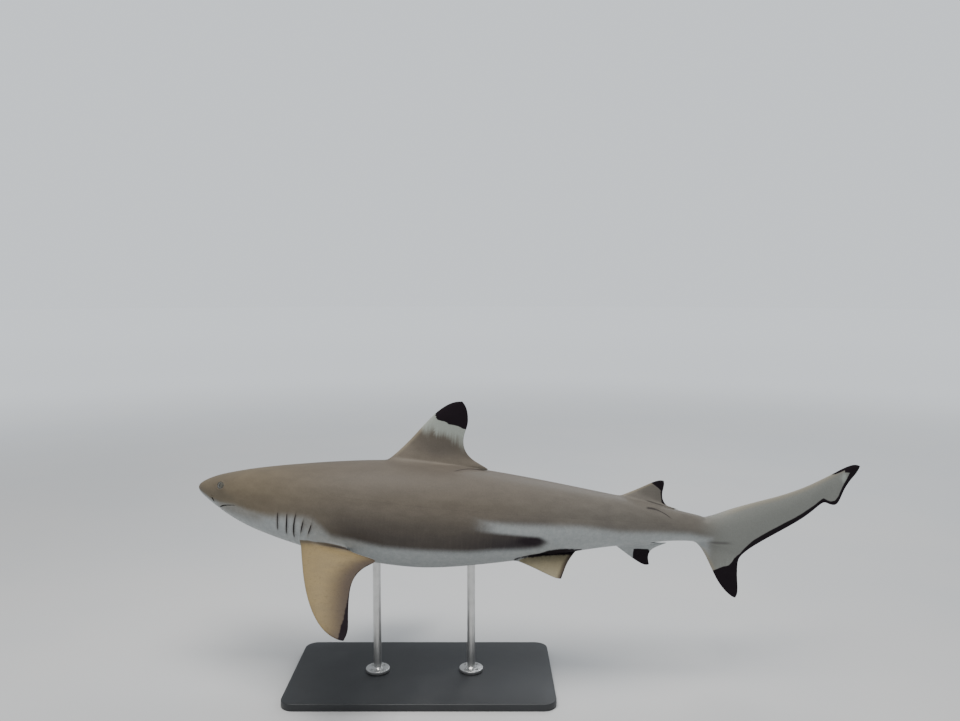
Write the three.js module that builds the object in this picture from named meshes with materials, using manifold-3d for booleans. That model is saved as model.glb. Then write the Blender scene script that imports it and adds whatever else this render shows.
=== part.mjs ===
// A blacktip reef shark (Carcharhinus melanopterus), life size, as a still model on a low stand.
//
// The shark is drawn straight: its side view and plan are curves over the distance from the
// snout, in percent of the total length. The straight animal is then laid along a curved
// spine, rolled, pitched nose up and lifted to its height over the stand. Its snout is towards
// -X, its left side towards -Y and its back up. The origin is the middle of the base's underside.

import * as THREE from 'three';
import { mergeVertices } from 'three/addons/utils/BufferGeometryUtils.js';
import Module from 'manifold-3d';

const wasm = await Module();
wasm.setup();

// ---- Driving sizes: millimetres, degrees, and percent of the total length ----

const TOTAL_LENGTH = 1400; // snout to the tip of the stretched tail
const PERCENT = TOTAL_LENGTH / 100;
const GAP = 0.3; // clearance between neighbouring pieces

// The swimming pose: how far each length of the spine is turned in plan, and the lie of the whole.
const HEAD_TURN = 21;
const TRUNK_TURN = -1;
const TAIL_TURN = -4;
const NECK = [10, 34]; // the head's turn fades over this stretch
const TAIL_SWING = [34, 80]; // the tail's turn grows over this one
const NOSE_UP = 4.5;
const ROLL = 1;
const BALANCE = 35; // the station that lies over the middle of the stand
const AXIS_HEIGHT = 340; // height of the spine there, over the floor

// Where the body is parted.
const HEAD_END = 22;
const TRUNK_END = 53.5;
const STEM_END = 75.7;
const FORK = 81.2;
const TAIL_TIP = 97.9;

// The body's side view: back and belly lines, and the level of the widest line.
const BACK_LINE = [
  [0, -0.4], [1, 0.62], [3, 1.6], [6, 2.6], [10, 3.7], [16, 5.05], [22, 6.15], [29, 7.0],
  [36, 7.2], [44, 6.65], [52, 5.8], [60, 4.75], [67, 3.75], [72, 2.75], [75.7, 2.1],
];
const BELLY_LINE = [
  [0, -0.4], [1, -1.35], [3, -2.15], [6, -3.35], [10, -4.45], [16, -5.55], [22, -6.5], [29, -7.3],
  [36, -7.55], [44, -6.55], [52, -5.05], [60, -3.3], [67, -2.2], [72, -1.55], [75.7, -1.5],
];
const WIDEST_LEVEL = [
  [0, -0.4], [6, 0.1], [12, -0.2], [22, -0.3], [34, 0], [50, 0.4], [60, 0.8], [75.7, 0.35],
];
// The plan: half the width.
const HALF_WIDTH = [
  [0, 0], [1, 1.75], [3, 2.9], [6, 3.9], [10, 4.85], [15, 5.5], [21, 6.0], [28, 6.45],
  [34, 6.6], [41, 6.3], [48, 5.45], [55, 4.35], [63, 3.05], [70, 1.95], [75.7, 1.35],
];
// Squareness of the section above and below the widest line: 2 is an ellipse.
const UPPER_SQUARENESS = [[0, 2.0], [8, 2.15], [30, 2.1], [75.7, 2.0]];
const LOWER_SQUARENESS = [[0, 2.1], [8, 2.6], [24, 2.4], [50, 2.2], [75.7, 2.0]];

// The tail fin's upper lobe: its leading edge, its rear margin from the fork to the notch, the
// end lobe behind the notch, the line where the lower lobe joins, and half its thickness.
const TAIL_BACK = [
  [75.7, 2.1], [76.6, 2.35], [79, 3.35], [82.5, 4.6], [86.5, 5.9], [90, 7.35], [93.5, 9.3],
  [96, 10.75], [97.1, 11.15], [TAIL_TIP, 10.95],
];
const TAIL_REAR_MARGIN = [
  [FORK, -3.5], [82.3, -2.45], [84.2, -1.1], [87, 0.7], [89.8, 2.5], [91.6, 4.0], [93, 5.5],
];
const END_LOBE = [
  [93, 5.5], [93.7, 5.1], [94.5, 4.92], [95.1, 5.1], [95.5, 6.1], [95.9, 7.5], [96.7, 8.9],
  [97.5, 9.95], [TAIL_TIP, 10.9],
];
const LOWER_LOBE_LINE = [[75.7, -1.5], [78.5, -2.3], [FORK, -3.5]];
const TAIL_HALF_WIDTH = [
  [75.7, 1.35], [78, 1.12], [81, 0.86], [85, 0.6], [90, 0.42], [94, 0.3], [97, 0.17],
  [TAIL_TIP, 0.1],
];
const TAIL_THICKEST = 0.36; // where the upper lobe is thickest, as a share of its depth

const BODY_POINTS = 26; // points round each body section
const INNER_ROWS = 3; // rows of a fin beside its inner margin
const OUTER_ROWS = 9; // rows from there to its tip
const FOIL_POINTS = 7; // points along each face of a fin section
const INNER_SHARE = 0.22; // share of the leading edge that lies beside the inner margin
const FIN_EDGE = 0.45; // half the thickness of a fin's edge, in millimetres

// The mouth: an arch across the underside, and the block of the jaw behind it.
const MOUTH_FRONT = 5.4;
const MOUTH_CORNER = [10.3, 5.2]; // distance from the snout, and to the side
const MOUTH_ARCH = 2.6; // power of the arch between them: 2 is a parabola, more is blunter
const JAW_REAR = 12.4;
const JAW_ROOF = [-1.75, -0.85]; // level of the jaw's top, at the front and at the rear
const JAW_FLOOR = -8; // level of the block's underside, well below the head
const MOUTH_OPENING = 3; // millimetres between the lips at the front

// The gill slits.
const GILL_COUNT = 5;
const GILL_STATIONS = [16.8, 21.2];
const GILL_TOP = -0.5;
const GILL_LENGTH = 3.1;
const GILL_DEPTH = 5; // millimetres
const GILL_OPENING = 1.6; // millimetres
const GILL_BOW = 0.2; // how far a slit bows tailwards
const GILL_LEAN = 0.5; // how far the last one's lower end leans to the head

// The eyes.
const EYE_STATION = 6.15;
const EYE_LEVEL = 1.15;
const EYE_RADII = [15.5, 9.5, 13]; // along, across and up, in millimetres
const EYE_PROUD = 2.2; // how far the eye stands out of the head

// The stand.
const BASE_SIZE = [520, 280];
const BASE_THICKNESS = 14;
const BASE_CORNER = 26;
const BASE_BEVEL = 2;
const ROD_RADIUS = 8;
const ROD_STATIONS = [28.5, 42];
const FLANGE_RADIUS = 24;
const FLANGE_HEIGHT = 7;
const FLANGE_CHAMFER = 1.5;

// ---- Curves ----

// A smooth curve through a table of [distance, value], over the distance or over its square
// root, which gives a round end at zero.
function smoothCurve(table, warp = (d) => d) {
  const knots = table.map(([d]) => warp(d));
  const values = table.map(([, value]) => value);
  const last = knots.length - 1;
  const chord = (i) => (values[i + 1] - values[i]) / (knots[i + 1] - knots[i]);
  const slopes = values.map((_, i) => {
    if (i === 0) return chord(0);
    if (i === last) return chord(last - 1);
    const before = knots[i] - knots[i - 1];
    const after = knots[i + 1] - knots[i];
    return (chord(i - 1) * after + chord(i) * before) / (before + after);
  });
  return (distance) => {
    const at = THREE.MathUtils.clamp(warp(Math.max(distance, 0)), knots[0], knots[last]);
    let i = 0;
    while (i < last - 1 && at > knots[i + 1]) i += 1;
    const span = knots[i + 1] - knots[i];
    const t = (at - knots[i]) / span;
    const rise = t * t * (3 - 2 * t);
    const fromStart = t * (1 - t) * (1 - t) * span * slopes[i];
    const fromEnd = t * t * (t - 1) * span * slopes[i + 1];
    return values[i] * (1 - rise) + values[i + 1] * rise + fromStart + fromEnd;
  };
}

const backLine = smoothCurve(BACK_LINE, Math.sqrt);
const bellyLine = smoothCurve(BELLY_LINE, Math.sqrt);
const halfWidth = smoothCurve(HALF_WIDTH, Math.sqrt);
const widestLevel = smoothCurve(WIDEST_LEVEL);
const upperSquareness = smoothCurve(UPPER_SQUARENESS);
const lowerSquareness = smoothCurve(LOWER_SQUARENESS);
const tailBack = smoothCurve(TAIL_BACK);
const tailRearMargin = smoothCurve(TAIL_REAR_MARGIN);
const endLobe = smoothCurve(END_LOBE);
const lowerLobeLine = smoothCurve(LOWER_LOBE_LINE);
const tailHalfWidth = smoothCurve(TAIL_HALF_WIDTH);

// ---- The spine, and the way from the straight animal to the posed one ----

const SPINE_STEP = 0.2;
const SPINE_START = -5;
const SPINE_END = 105;

function turnAt(station) {
  const neck = THREE.MathUtils.smoothstep(station, NECK[0], NECK[1]);
  const tail = THREE.MathUtils.smoothstep(station, TAIL_SWING[0], TAIL_SWING[1]);
  const turn = HEAD_TURN + (TRUNK_TURN - HEAD_TURN) * neck + (TAIL_TURN - TRUNK_TURN) * tail;
  return THREE.MathUtils.degToRad(turn);
}

const spine = [new THREE.Vector2(0, 0)];
for (let station = SPINE_START; station < SPINE_END; station += SPINE_STEP) {
  const turn = turnAt(station + SPINE_STEP / 2);
  const step = new THREE.Vector2(Math.cos(turn), -Math.sin(turn)).multiplyScalar(SPINE_STEP * PERCENT);
  spine.push(spine[spine.length - 1].clone().add(step));
}

function spineAt(station) {
  const place = (station - SPINE_START) / SPINE_STEP;
  const i = Math.min(Math.floor(place), spine.length - 2);
  return spine[i].clone().lerp(spine[i + 1], place - i);
}

// A point of the straight animal on its bent spine. Station, side and level are in percent;
// side grows to the animal's left, level upwards.
function onSpine(station, side, level) {
  const middle = spineAt(station);
  const turn = turnAt(station);
  return new THREE.Vector3(
    middle.x - Math.sin(turn) * side * PERCENT,
    middle.y - Math.cos(turn) * side * PERCENT,
    level * PERCENT,
  );
}

const lie = new THREE.Matrix4()
  .makeRotationY(THREE.MathUtils.degToRad(NOSE_UP))
  .multiply(new THREE.Matrix4().makeRotationX(THREE.MathUtils.degToRad(-ROLL)));
const balancePoint = onSpine(BALANCE, 0, 0).applyMatrix4(lie);
const pose = new THREE.Matrix4()
  .makeTranslation(-balancePoint.x, -balancePoint.y, AXIS_HEIGHT - balancePoint.z)
  .multiply(lie);

function place(station, side, level) {
  return onSpine(station, side, level).applyMatrix4(pose);
}

// The body's own directions at a station: tailwards, to its left, and up.
function directionsAt(station) {
  const turn = turnAt(station);
  const back = new THREE.Vector3(Math.cos(turn), -Math.sin(turn), 0).transformDirection(pose);
  const left = new THREE.Vector3(-Math.sin(turn), -Math.cos(turn), 0).transformDirection(pose);
  const up = new THREE.Vector3(0, 0, 1).transformDirection(pose);
  return { back, left, up };
}

// ---- Solids ----

// A closed body through rings of equally many points, closed at each end round a middle point.
function loft(rings, firstPole, lastPole) {
  const count = rings[0].length;
  const vertices = [...rings.flat(), firstPole, lastPole];
  const first = vertices.length - 2;
  const last = vertices.length - 1;
  const faces = [];
  for (let j = 0; j < count; j += 1) {
    const k = (j + 1) % count;
    faces.push([first, k, j]);
    for (let i = 0; i < rings.length - 1; i += 1) {
      const here = i * count;
      const next = here + count;
      faces.push([here + j, here + k, next + k]);
      faces.push([here + j, next + k, next + j]);
    }
    const end = (rings.length - 1) * count;
    faces.push([last, end + j, end + k]);
  }
  return closedGeometry(vertices, faces);
}

// Six times the volume that a list of faces encloses, negative if they point inwards.
function signedVolume(vertices, faces) {
  const volumes = faces.map(([a, b, c]) => {
    const cross = new THREE.Vector3().crossVectors(vertices[b], vertices[c]);
    return vertices[a].dot(cross);
  });
  return volumes.reduce((sum, value) => sum + value, 0);
}

function closedGeometry(vertices, faces) {
  const outward = signedVolume(vertices, faces) > 0;
  const order = outward ? faces : faces.map(([a, b, c]) => [a, c, b]);
  const geometry = new THREE.BufferGeometry().setFromPoints(vertices);
  geometry.setIndex(order.flat());
  return geometry;
}

function toSolid(geometry) {
  const bare = geometry.clone();
  bare.deleteAttribute('normal');
  bare.deleteAttribute('uv');
  const merged = mergeVertices(bare, 1e-4);
  const mesh = new wasm.Mesh({
    numProp: 3,
    vertProperties: new Float32Array(merged.attributes.position.array),
    triVerts: new Uint32Array(merged.index.array),
  });
  return new wasm.Manifold(mesh);
}

function toGeometry(solid) {
  const mesh = solid.getMesh();
  const geometry = new THREE.BufferGeometry();
  geometry.setAttribute('position', new THREE.BufferAttribute(mesh.vertProperties, 3));
  geometry.setIndex(new THREE.BufferAttribute(mesh.triVerts, 1));
  return geometry;
}

// The largest piece of a solid, without any sliver that a cut left beside it.
function largest(solid) {
  const pieces = solid.decompose();
  return pieces.reduce((best, piece) => (piece.volume() > best.volume() ? piece : best));
}

// ---- Body sections ----

const middleOf = (points) => points
  .reduce((sum, point) => sum.add(point), new THREE.Vector3())
  .divideScalar(points.length);

// A section of the head, trunk or stem. It grows outwards by a clearance in millimetres.
function bodyRing(station, clearance = 0) {
  const grow = clearance / PERCENT;
  const level = widestLevel(station);
  const rise = backLine(station) + grow - level;
  const drop = level - bellyLine(station) + grow;
  const wide = halfWidth(station) + grow;
  return Array.from({ length: BODY_POINTS }, (_, j) => {
    const angle = (2 * Math.PI * j) / BODY_POINTS;
    const upward = Math.cos(angle);
    const squareness = (upward > 0 ? upperSquareness : lowerSquareness)(station);
    const out = (1 - Math.abs(upward) ** squareness) ** (1 / squareness);
    const reach = upward > 0 ? rise : drop;
    return place(station, wide * out * Math.sign(Math.sin(angle)), level + upward * reach);
  });
}

// The lower edge of the upper lobe.
function tailUnder(station) {
  if (station <= FORK) return lowerLobeLine(station);
  return station <= TAIL_REAR_MARGIN.at(-1)[0] ? tailRearMargin(station) : endLobe(station);
}

// A section of the tail fin's upper lobe: round over the spine, and drawn out below it to a
// thin rear margin once the stem is left behind.
function tailRing(station, clearance = 0) {
  const grow = clearance / PERCENT;
  const top = tailBack(station) + grow;
  const under = tailUnder(station) - grow;
  const wide = tailHalfWidth(station) + grow;
  const blade = THREE.MathUtils.smoothstep(station, STEM_END, FORK + 4);
  const stemLevel = widestLevel(STEM_END);
  const level = THREE.MathUtils.lerp(stemLevel, top - (top - under) * TAIL_THICKEST, Math.min(blade * 4, 1));
  const power = THREE.MathUtils.lerp(2, 1.5, blade);
  const taper = THREE.MathUtils.lerp(0.5, 1, blade);
  const edge = (FIN_EDGE / PERCENT) * blade;
  return Array.from({ length: BODY_POINTS }, (_, j) => {
    const angle = (2 * Math.PI * j) / BODY_POINTS;
    const upward = Math.cos(angle);
    const share = Math.abs(upward);
    const upper = Math.sqrt(1 - share * share);
    const lower = (1 - share ** power) ** taper;
    const out = upward > 0 ? upper : Math.max(lower, share < 1 ? edge / wide : 0);
    const reach = upward > 0 ? top - level : level - under;
    return place(station, wide * out * Math.sign(Math.sin(angle)), level + upward * reach);
  });
}

// Stations from one to another, drawn together towards the start by a power over one.
function stations(from, to, count, power = 1) {
  return Array.from({ length: count + 1 }, (_, i) => from + (to - from) * (i / count) ** power);
}

function bodyLength(list, clearance = 0) {
  const rings = list.map((station) => bodyRing(station, clearance));
  return loft(rings, middleOf(rings[0]), middleOf(rings.at(-1)));
}

const halfGap = GAP / 2 / PERCENT;
const SNOUT_TIP = 0.12; // the first section behind the tip, in percent
const headStations = stations(SNOUT_TIP, HEAD_END - halfGap, 18, 1.5);
const trunkStations = stations(HEAD_END + halfGap, TRUNK_END - halfGap, 11);
const stemStations = stations(TRUNK_END + halfGap, STEM_END - halfGap, 9);
const lobeStations = [
  ...stations(STEM_END + halfGap, FORK, 6),
  ...stations(FORK, TAIL_REAR_MARGIN.at(-1)[0], 9).slice(1),
  93.7, 94.5, 95.1, 95.5, 95.9, 96.7, 97.4, 97.75,
];

function headGeometry(clearance) {
  const rings = headStations.map((station) => bodyRing(station, clearance));
  return loft(rings, place(-clearance / PERCENT, 0, BACK_LINE[0][1]), middleOf(rings.at(-1)));
}

function upperLobeGeometry(clearance) {
  const rings = lobeStations.map((station) => tailRing(station, clearance));
  const tip = place(TAIL_TIP, 0, TAIL_BACK.at(-1)[1]);
  return loft(rings, middleOf(rings[0]), tip);
}

// ---- Fins ----

// Half the thickness of a fin section over the share of its chord, for a chord of one.
function foil(share) {
  const root = 0.2969 * Math.sqrt(share) - 0.126 * share;
  return 5 * (root - 0.3516 * share ** 2 + 0.2843 * share ** 3 - 0.1015 * share ** 4);
}

function curveOf(points) {
  return new THREE.SplineCurve(points.map(([along, out]) => new THREE.Vector2(along, out)));
}

// A fin between a leading and a trailing curve, each a list of [along, out] in percent from
// root to tip. The trailing list starts on the inner margin, whose last point is the free rear
// tip. toWorld places a point given along, out, and how far it is off the fin's own plane.
function finGeometry({ leading, inner, trailing, thickness, rootSwell, toWorld }) {
  const leadingCurve = curveOf(leading);
  const innerCurve = curveOf(inner);
  const trailingCurve = curveOf([inner.at(-1), ...trailing]);
  const rings = Array.from({ length: INNER_ROWS + OUTER_ROWS }, (_, i) => {
    const outer = Math.sin((Math.PI / 2) * ((i - INNER_ROWS) / OUTER_ROWS));
    const share = i < INNER_ROWS ? (INNER_SHARE * i) / INNER_ROWS : INNER_SHARE + (1 - INNER_SHARE) * outer;
    const front = leadingCurve.getPointAt(share);
    const rear = i < INNER_ROWS ? innerCurve.getPointAt(i / INNER_ROWS) : trailingCurve.getPointAt(outer);
    const chord = front.distanceTo(rear);
    const swell = 1 + rootSwell * Math.exp(-share * 9);
    const face = Array.from({ length: FOIL_POINTS + 1 }, (_, j) => {
      const along = 0.5 - 0.5 * Math.cos((Math.PI * j) / FOIL_POINTS);
      const half = thickness * chord * foil(along) * swell + (FIN_EDGE / PERCENT) * Math.min(1, along * 6);
      return { at: front.clone().lerp(rear, along), half };
    });
    const leftFace = face.map(({ at, half }) => toWorld(at.x, at.y, half));
    const rightFace = face.slice(1).reverse().map(({ at, half }) => toWorld(at.x, at.y, -half));
    return [...leftFace, ...rightFace];
  });
  const tip = leadingCurve.getPoint(1);
  return loft(rings, middleOf(rings[0]), toWorld(tip.x, tip.y, 0));
}

// A fin on the middle line: along is the station, out the level.
const onMiddle = (along, out, off) => place(along, off, out);

// A paired fin lies in a flat plane through its root, which slopes down from the body by its
// droop. Its base runs tailwards, turned in and up by the given shares. Side is 1 on the left.
function pairedPlane({ station, side: rootSide, level, droop, inward, upward }, side) {
  const root = place(station, rootSide * side, level);
  const { back, left, up } = directionsAt(station + 3);
  const out = left.multiplyScalar(side);
  const slope = THREE.MathUtils.degToRad(droop);
  const along = back.clone().addScaledVector(out, -inward).addScaledVector(up, upward).normalize();
  const span = out.clone().multiplyScalar(Math.cos(slope)).addScaledVector(up, -Math.sin(slope));
  const off = new THREE.Vector3().crossVectors(along, span).normalize();
  return (a, b, t) => root.clone()
    .addScaledVector(along, a * PERCENT)
    .addScaledVector(span, b * PERCENT)
    .addScaledVector(off, t * PERCENT);
}

const FIRST_DORSAL = {
  leading: [[27.6, 4.6], [30.0, 7.4], [32.6, 10.25], [34.9, 13.2], [36.6, 15.0], [38.2, 16.0], [39.5, 16.25]],
  inner: [[37.0, 4.6], [39.0, 6.35], [41.3, 6.75], [43.9, 6.85]],
  trailing: [[41.9, 7.85], [40.5, 9.1], [40.0, 11.2], [40.35, 13.3], [40.1, 15.2], [39.5, 16.25]],
  thickness: 0.085,
  rootSwell: 0.9,
  toWorld: onMiddle,
};

const SECOND_DORSAL = {
  leading: [[61.6, 3.3], [63.3, 4.5], [65.4, 5.55], [67.4, 6.6], [68.5, 7.0], [69.1, 6.95]],
  inner: [[65.6, 2.4], [67.3, 3.35], [69.6, 2.95], [71.9, 2.85]],
  trailing: [[70.4, 3.2], [69.4, 4.1], [69.1, 5.3], [69.25, 6.3], [69.1, 6.95]],
  thickness: 0.085,
  rootSwell: 0.9,
  toWorld: onMiddle,
};

const ANAL = {
  leading: [[61.6, -1.6], [63.2, -2.95], [65.2, -4.3], [66.9, -5.25], [67.7, -5.45], [68.1, -5.3]],
  inner: [[65.2, -1.1], [67.0, -2.05], [69.0, -2.05], [70.8, -1.85]],
  trailing: [[69.0, -2.65], [68.05, -3.3], [67.85, -4.2], [68.1, -5.3]],
  thickness: 0.085,
  rootSwell: 0.9,
  toWorld: onMiddle,
};

const LOWER_LOBE = {
  leading: [
    [73.4, -0.9], [75.4, -2.05], [76.9, -4.6], [78.3, -7.0], [79.7, -8.6], [80.9, -9.45],
    [81.3, -9.5],
  ],
  inner: [[79.6, -1.0], [80.6, -2.4], [FORK, -3.55]],
  trailing: [[81.15, -4.6], [81.25, -6.2], [81.5, -7.8], [81.55, -8.9], [81.3, -9.5]],
  thickness: 0.1,
  rootSwell: 0.5,
  toWorld: onMiddle,
};

const PECTORAL_ROOT = { station: 20.3, side: 5.2, level: -4.0, droop: 30, inward: 0, upward: 0.02 };
const PECTORAL = {
  leading: [
    [-1.1, -3.2], [-0.35, 0.4], [1.2, 3.9], [3.15, 8.2], [5.5, 11.9], [7.9, 14.4], [9.6, 15.5],
    [10.5, 15.6],
  ],
  inner: [[5.0, -3.2], [6.3, -0.4], [8.6, 0.9], [10.8, 1.7]],
  trailing: [[9.7, 3.1], [8.9, 4.9], [8.8, 7.2], [9.65, 11.0], [10.5, 14.0], [10.5, 15.6]],
  thickness: 0.095,
  rootSwell: 0.8,
};

const PELVIC_ROOT = { station: 48.7, side: 3.0, level: -5.2, droop: 35, inward: 0.3, upward: 0.2 };
const PELVIC = {
  leading: [[-0.9, -1.6], [0.5, 0.05], [2.2, 1.55], [4.2, 3.15], [5.8, 4.35], [6.5, 4.55]],
  inner: [[3.9, -1.9], [5.6, -0.6], [7.4, -0.05], [9.2, 0.15]],
  trailing: [[8.2, 1.1], [7.4, 2.3], [6.95, 3.5], [6.5, 4.55]],
  thickness: 0.08,
  rootSwell: 0.8,
};

// ---- Cutters for the mouth, gill slits and eye sockets ----

// The jaw's block, seen from above an arch with its point forward. Clearance grows it all
// round, and opening moves its front further forward.
function jawBlock(clearance, opening) {
  const grow = clearance / PERCENT;
  const front = MOUTH_FRONT - grow - opening / PERCENT;
  const [cornerStation, cornerSide] = MOUTH_CORNER;
  const arch = Array.from({ length: 13 }, (_, i) => {
    const share = i / 6 - 1;
    const station = front + (cornerStation - front) * Math.abs(share) ** MOUTH_ARCH;
    return new THREE.Vector2(station, (cornerSide + grow) * share);
  });
  const rearCorners = [1, -1].map((side) => (
    new THREE.Vector2(JAW_REAR + grow, (cornerSide + grow) * side)
  ));
  const outline = [...arch, ...rearCorners];
  const roofAt = (station) => {
    const share = (station - MOUTH_FRONT) / (JAW_REAR - MOUTH_FRONT);
    const parted = (opening / PERCENT) * Math.max(0, 1 - share * 1.4);
    return THREE.MathUtils.lerp(JAW_ROOF[0], JAW_ROOF[1], share) + grow + parted;
  };
  const count = outline.length;
  const vertices = [
    ...outline.map(({ x, y }) => place(x, y, roofAt(x))),
    ...outline.map(({ x, y }) => place(x, y, JAW_FLOOR)),
  ];
  const faces = THREE.ShapeUtils.triangulateShape(outline, []);
  const under = faces.map(([a, b, c]) => [a + count, c + count, b + count]);
  const walls = outline.flatMap((_, i) => {
    const k = (i + 1) % count;
    return [[i, k, i + count], [k, k + count, i + count]];
  });
  return closedGeometry(vertices, [...faces, ...under, ...walls]);
}

// One gill slit: a thin, slightly bowed block that enters the side of the head.
function gillBlock(index, side) {
  const share = index / (GILL_COUNT - 1);
  const station = THREE.MathUtils.lerp(GILL_STATIONS[0], GILL_STATIONS[1], share ** 0.9);
  const length = GILL_LENGTH * (1 - 0.15 * share);
  const half = GILL_OPENING / 2 / PERCENT;
  const rows = 3;
  const rings = Array.from({ length: rows + 1 }, (_, i) => {
    const down = i / rows;
    const level = GILL_TOP - length * down;
    const along = station + GILL_BOW * Math.sin(Math.PI * down) - GILL_LEAN * share * down;
    const outer = halfWidth(along) + 1;
    const inner = halfWidth(along) * surfaceShare(along, level) - GILL_DEPTH / PERCENT;
    return [
      place(along - half, inner * side, level),
      place(along + half, inner * side, level),
      place(along + half, outer * side, level),
      place(along - half, outer * side, level),
    ];
  });
  return loft(rings, middleOf(rings[0]), middleOf(rings.at(-1)));
}

// How far out the head's surface is at a level, as a share of its half width.
function surfaceShare(station, level) {
  const middle = widestLevel(station);
  const reach = level > middle ? backLine(station) - middle : middle - bellyLine(station);
  const squareness = (level > middle ? upperSquareness : lowerSquareness)(station);
  return (1 - (Math.abs(level - middle) / reach) ** squareness) ** (1 / squareness);
}

function eyeGeometry(side, clearance) {
  const [along, across, upward] = EYE_RADII.map((radius) => radius + clearance);
  const { back, left, up } = directionsAt(EYE_STATION);
  const surface = halfWidth(EYE_STATION) * surfaceShare(EYE_STATION, EYE_LEVEL);
  const widening = (halfWidth(EYE_STATION + 0.5) - halfWidth(EYE_STATION - 0.5)) * side;
  const lookOut = left.clone().multiplyScalar(side).addScaledVector(back, -Math.abs(widening)).normalize();
  const axisAlong = new THREE.Vector3().crossVectors(lookOut, up).normalize();
  const centre = place(EYE_STATION, surface * side, EYE_LEVEL)
    .addScaledVector(lookOut, EYE_PROUD - EYE_RADII[1]);
  const turn = new THREE.Matrix4().makeBasis(axisAlong, lookOut, up).setPosition(centre);
  return new THREE.SphereGeometry(1, 16, 10)
    .scale(along, across, upward)
    .applyMatrix4(turn);
}

// ---- The stand ----

function baseGeometry() {
  const [long, deep] = BASE_SIZE.map((size) => size / 2 - BASE_BEVEL);
  const corner = BASE_CORNER - BASE_BEVEL;
  const outline = new THREE.Shape();
  outline.moveTo(-long + corner, -deep);
  outline.lineTo(long - corner, -deep);
  outline.absarc(long - corner, -deep + corner, corner, -Math.PI / 2, 0);
  outline.lineTo(long, deep - corner);
  outline.absarc(long - corner, deep - corner, corner, 0, Math.PI / 2);
  outline.lineTo(-long + corner, deep);
  outline.absarc(-long + corner, deep - corner, corner, Math.PI / 2, Math.PI);
  outline.lineTo(-long, -deep + corner);
  outline.absarc(-long + corner, -deep + corner, corner, Math.PI, 1.5 * Math.PI);
  return new THREE.ExtrudeGeometry(outline, {
    depth: BASE_THICKNESS - 2 * BASE_BEVEL,
    bevelThickness: BASE_BEVEL,
    bevelSize: BASE_BEVEL,
    bevelSegments: 1,
    curveSegments: 6,
  }).translate(0, 0, BASE_BEVEL);
}

// A rod with a round flange on the base, up into the middle of the body above it.
function rodGeometry(station) {
  const top = place(station, 0, 0);
  const foot = BASE_THICKNESS + GAP;
  const profile = [
    [0, foot],
    [FLANGE_RADIUS, foot],
    [FLANGE_RADIUS, foot + FLANGE_HEIGHT - FLANGE_CHAMFER],
    [FLANGE_RADIUS - FLANGE_CHAMFER, foot + FLANGE_HEIGHT],
    [ROD_RADIUS, foot + FLANGE_HEIGHT],
    [ROD_RADIUS, top.z],
    [0, top.z],
  ];
  return new THREE.LatheGeometry(profile.map(([r, z]) => new THREE.Vector2(r, z)), 20)
    .rotateX(Math.PI / 2)
    .translate(top.x, top.y, 0);
}

// ---- Putting the pieces together ----

const shark = new THREE.Group();

function addPiece(name, geometry, color, roughness = 0.5, metalness = 0) {
  const facets = geometry.index ? geometry.toNonIndexed() : geometry;
  facets.computeVertexNormals();
  const material = new THREE.MeshStandardMaterial({ color, roughness, metalness });
  const mesh = new THREE.Mesh(facets, material);
  mesh.name = name;
  shark.add(mesh);
}

const BROWN_GREY = 0x6e655a;
const TAIL_GREY = 0x78705f;
const FIN_GREY = 0x746b5e;
const PALE_JAW = 0xb9b2a4;
const EYE_GREY = 0x2b2a26;
const STAND_GREY = 0x33353a;
const STEEL = 0xb4b6b8;

const sides = [['left', 1], ['right', -1]];

// The body, swollen by the clearance, cuts the roots of the fins and the tops of the rods.
const aroundHead = toSolid(headGeometry(GAP));
const aroundTrunk = toSolid(bodyLength([HEAD_END - 1, ...trunkStations, TRUNK_END + 1], GAP));
const aroundStem = toSolid(bodyLength([TRUNK_END - 1, ...stemStations, STEM_END + 0.05], GAP));
const aroundLobe = toSolid(upperLobeGeometry(GAP));
const aroundBody = aroundHead.add(aroundTrunk).add(aroundStem).add(aroundLobe);

function trimmed(geometry) {
  return toGeometry(largest(toSolid(geometry).subtract(aroundBody)));
}

let head = toSolid(headGeometry(0));
const jaw = head.intersect(toSolid(jawBlock(0, 0)));
head = head.subtract(toSolid(jawBlock(GAP, MOUTH_OPENING)));
for (const [, side] of sides) {
  head = head.subtract(toSolid(eyeGeometry(side, GAP)));
  for (let index = 0; index < GILL_COUNT; index += 1) {
    head = head.subtract(toSolid(gillBlock(index, side)));
  }
}

addPiece('head', toGeometry(largest(head)), BROWN_GREY);
addPiece('lower_jaw', toGeometry(largest(jaw)), PALE_JAW);
addPiece('trunk', bodyLength(trunkStations), BROWN_GREY);
addPiece('tail_stem', bodyLength(stemStations), BROWN_GREY);
addPiece('caudal_upper_lobe', upperLobeGeometry(0), TAIL_GREY);
addPiece('caudal_lower_lobe', trimmed(finGeometry(LOWER_LOBE)), TAIL_GREY);
addPiece('first_dorsal_fin', trimmed(finGeometry(FIRST_DORSAL)), FIN_GREY);
addPiece('second_dorsal_fin', trimmed(finGeometry(SECOND_DORSAL)), FIN_GREY);
addPiece('anal_fin', trimmed(finGeometry(ANAL)), FIN_GREY);
for (const [word, side] of sides) {
  const pectoral = { ...PECTORAL, toWorld: pairedPlane(PECTORAL_ROOT, side) };
  const pelvic = { ...PELVIC, toWorld: pairedPlane(PELVIC_ROOT, side) };
  addPiece(`pectoral_fin_${word}`, trimmed(finGeometry(pectoral)), FIN_GREY);
  addPiece(`pelvic_fin_${word}`, trimmed(finGeometry(pelvic)), FIN_GREY);
  addPiece(`eye_${word}`, eyeGeometry(side, 0), EYE_GREY, 0.1);
}

addPiece('stand_base', baseGeometry(), STAND_GREY, 0.6, 0.3);
const rodNames = ['stand_rod_front', 'stand_rod_rear'];
rodNames.forEach((name, i) => {
  addPiece(name, trimmed(rodGeometry(ROD_STATIONS[i])), STEEL, 0.3, 1);
});

export default shark;
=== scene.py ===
import math

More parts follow.
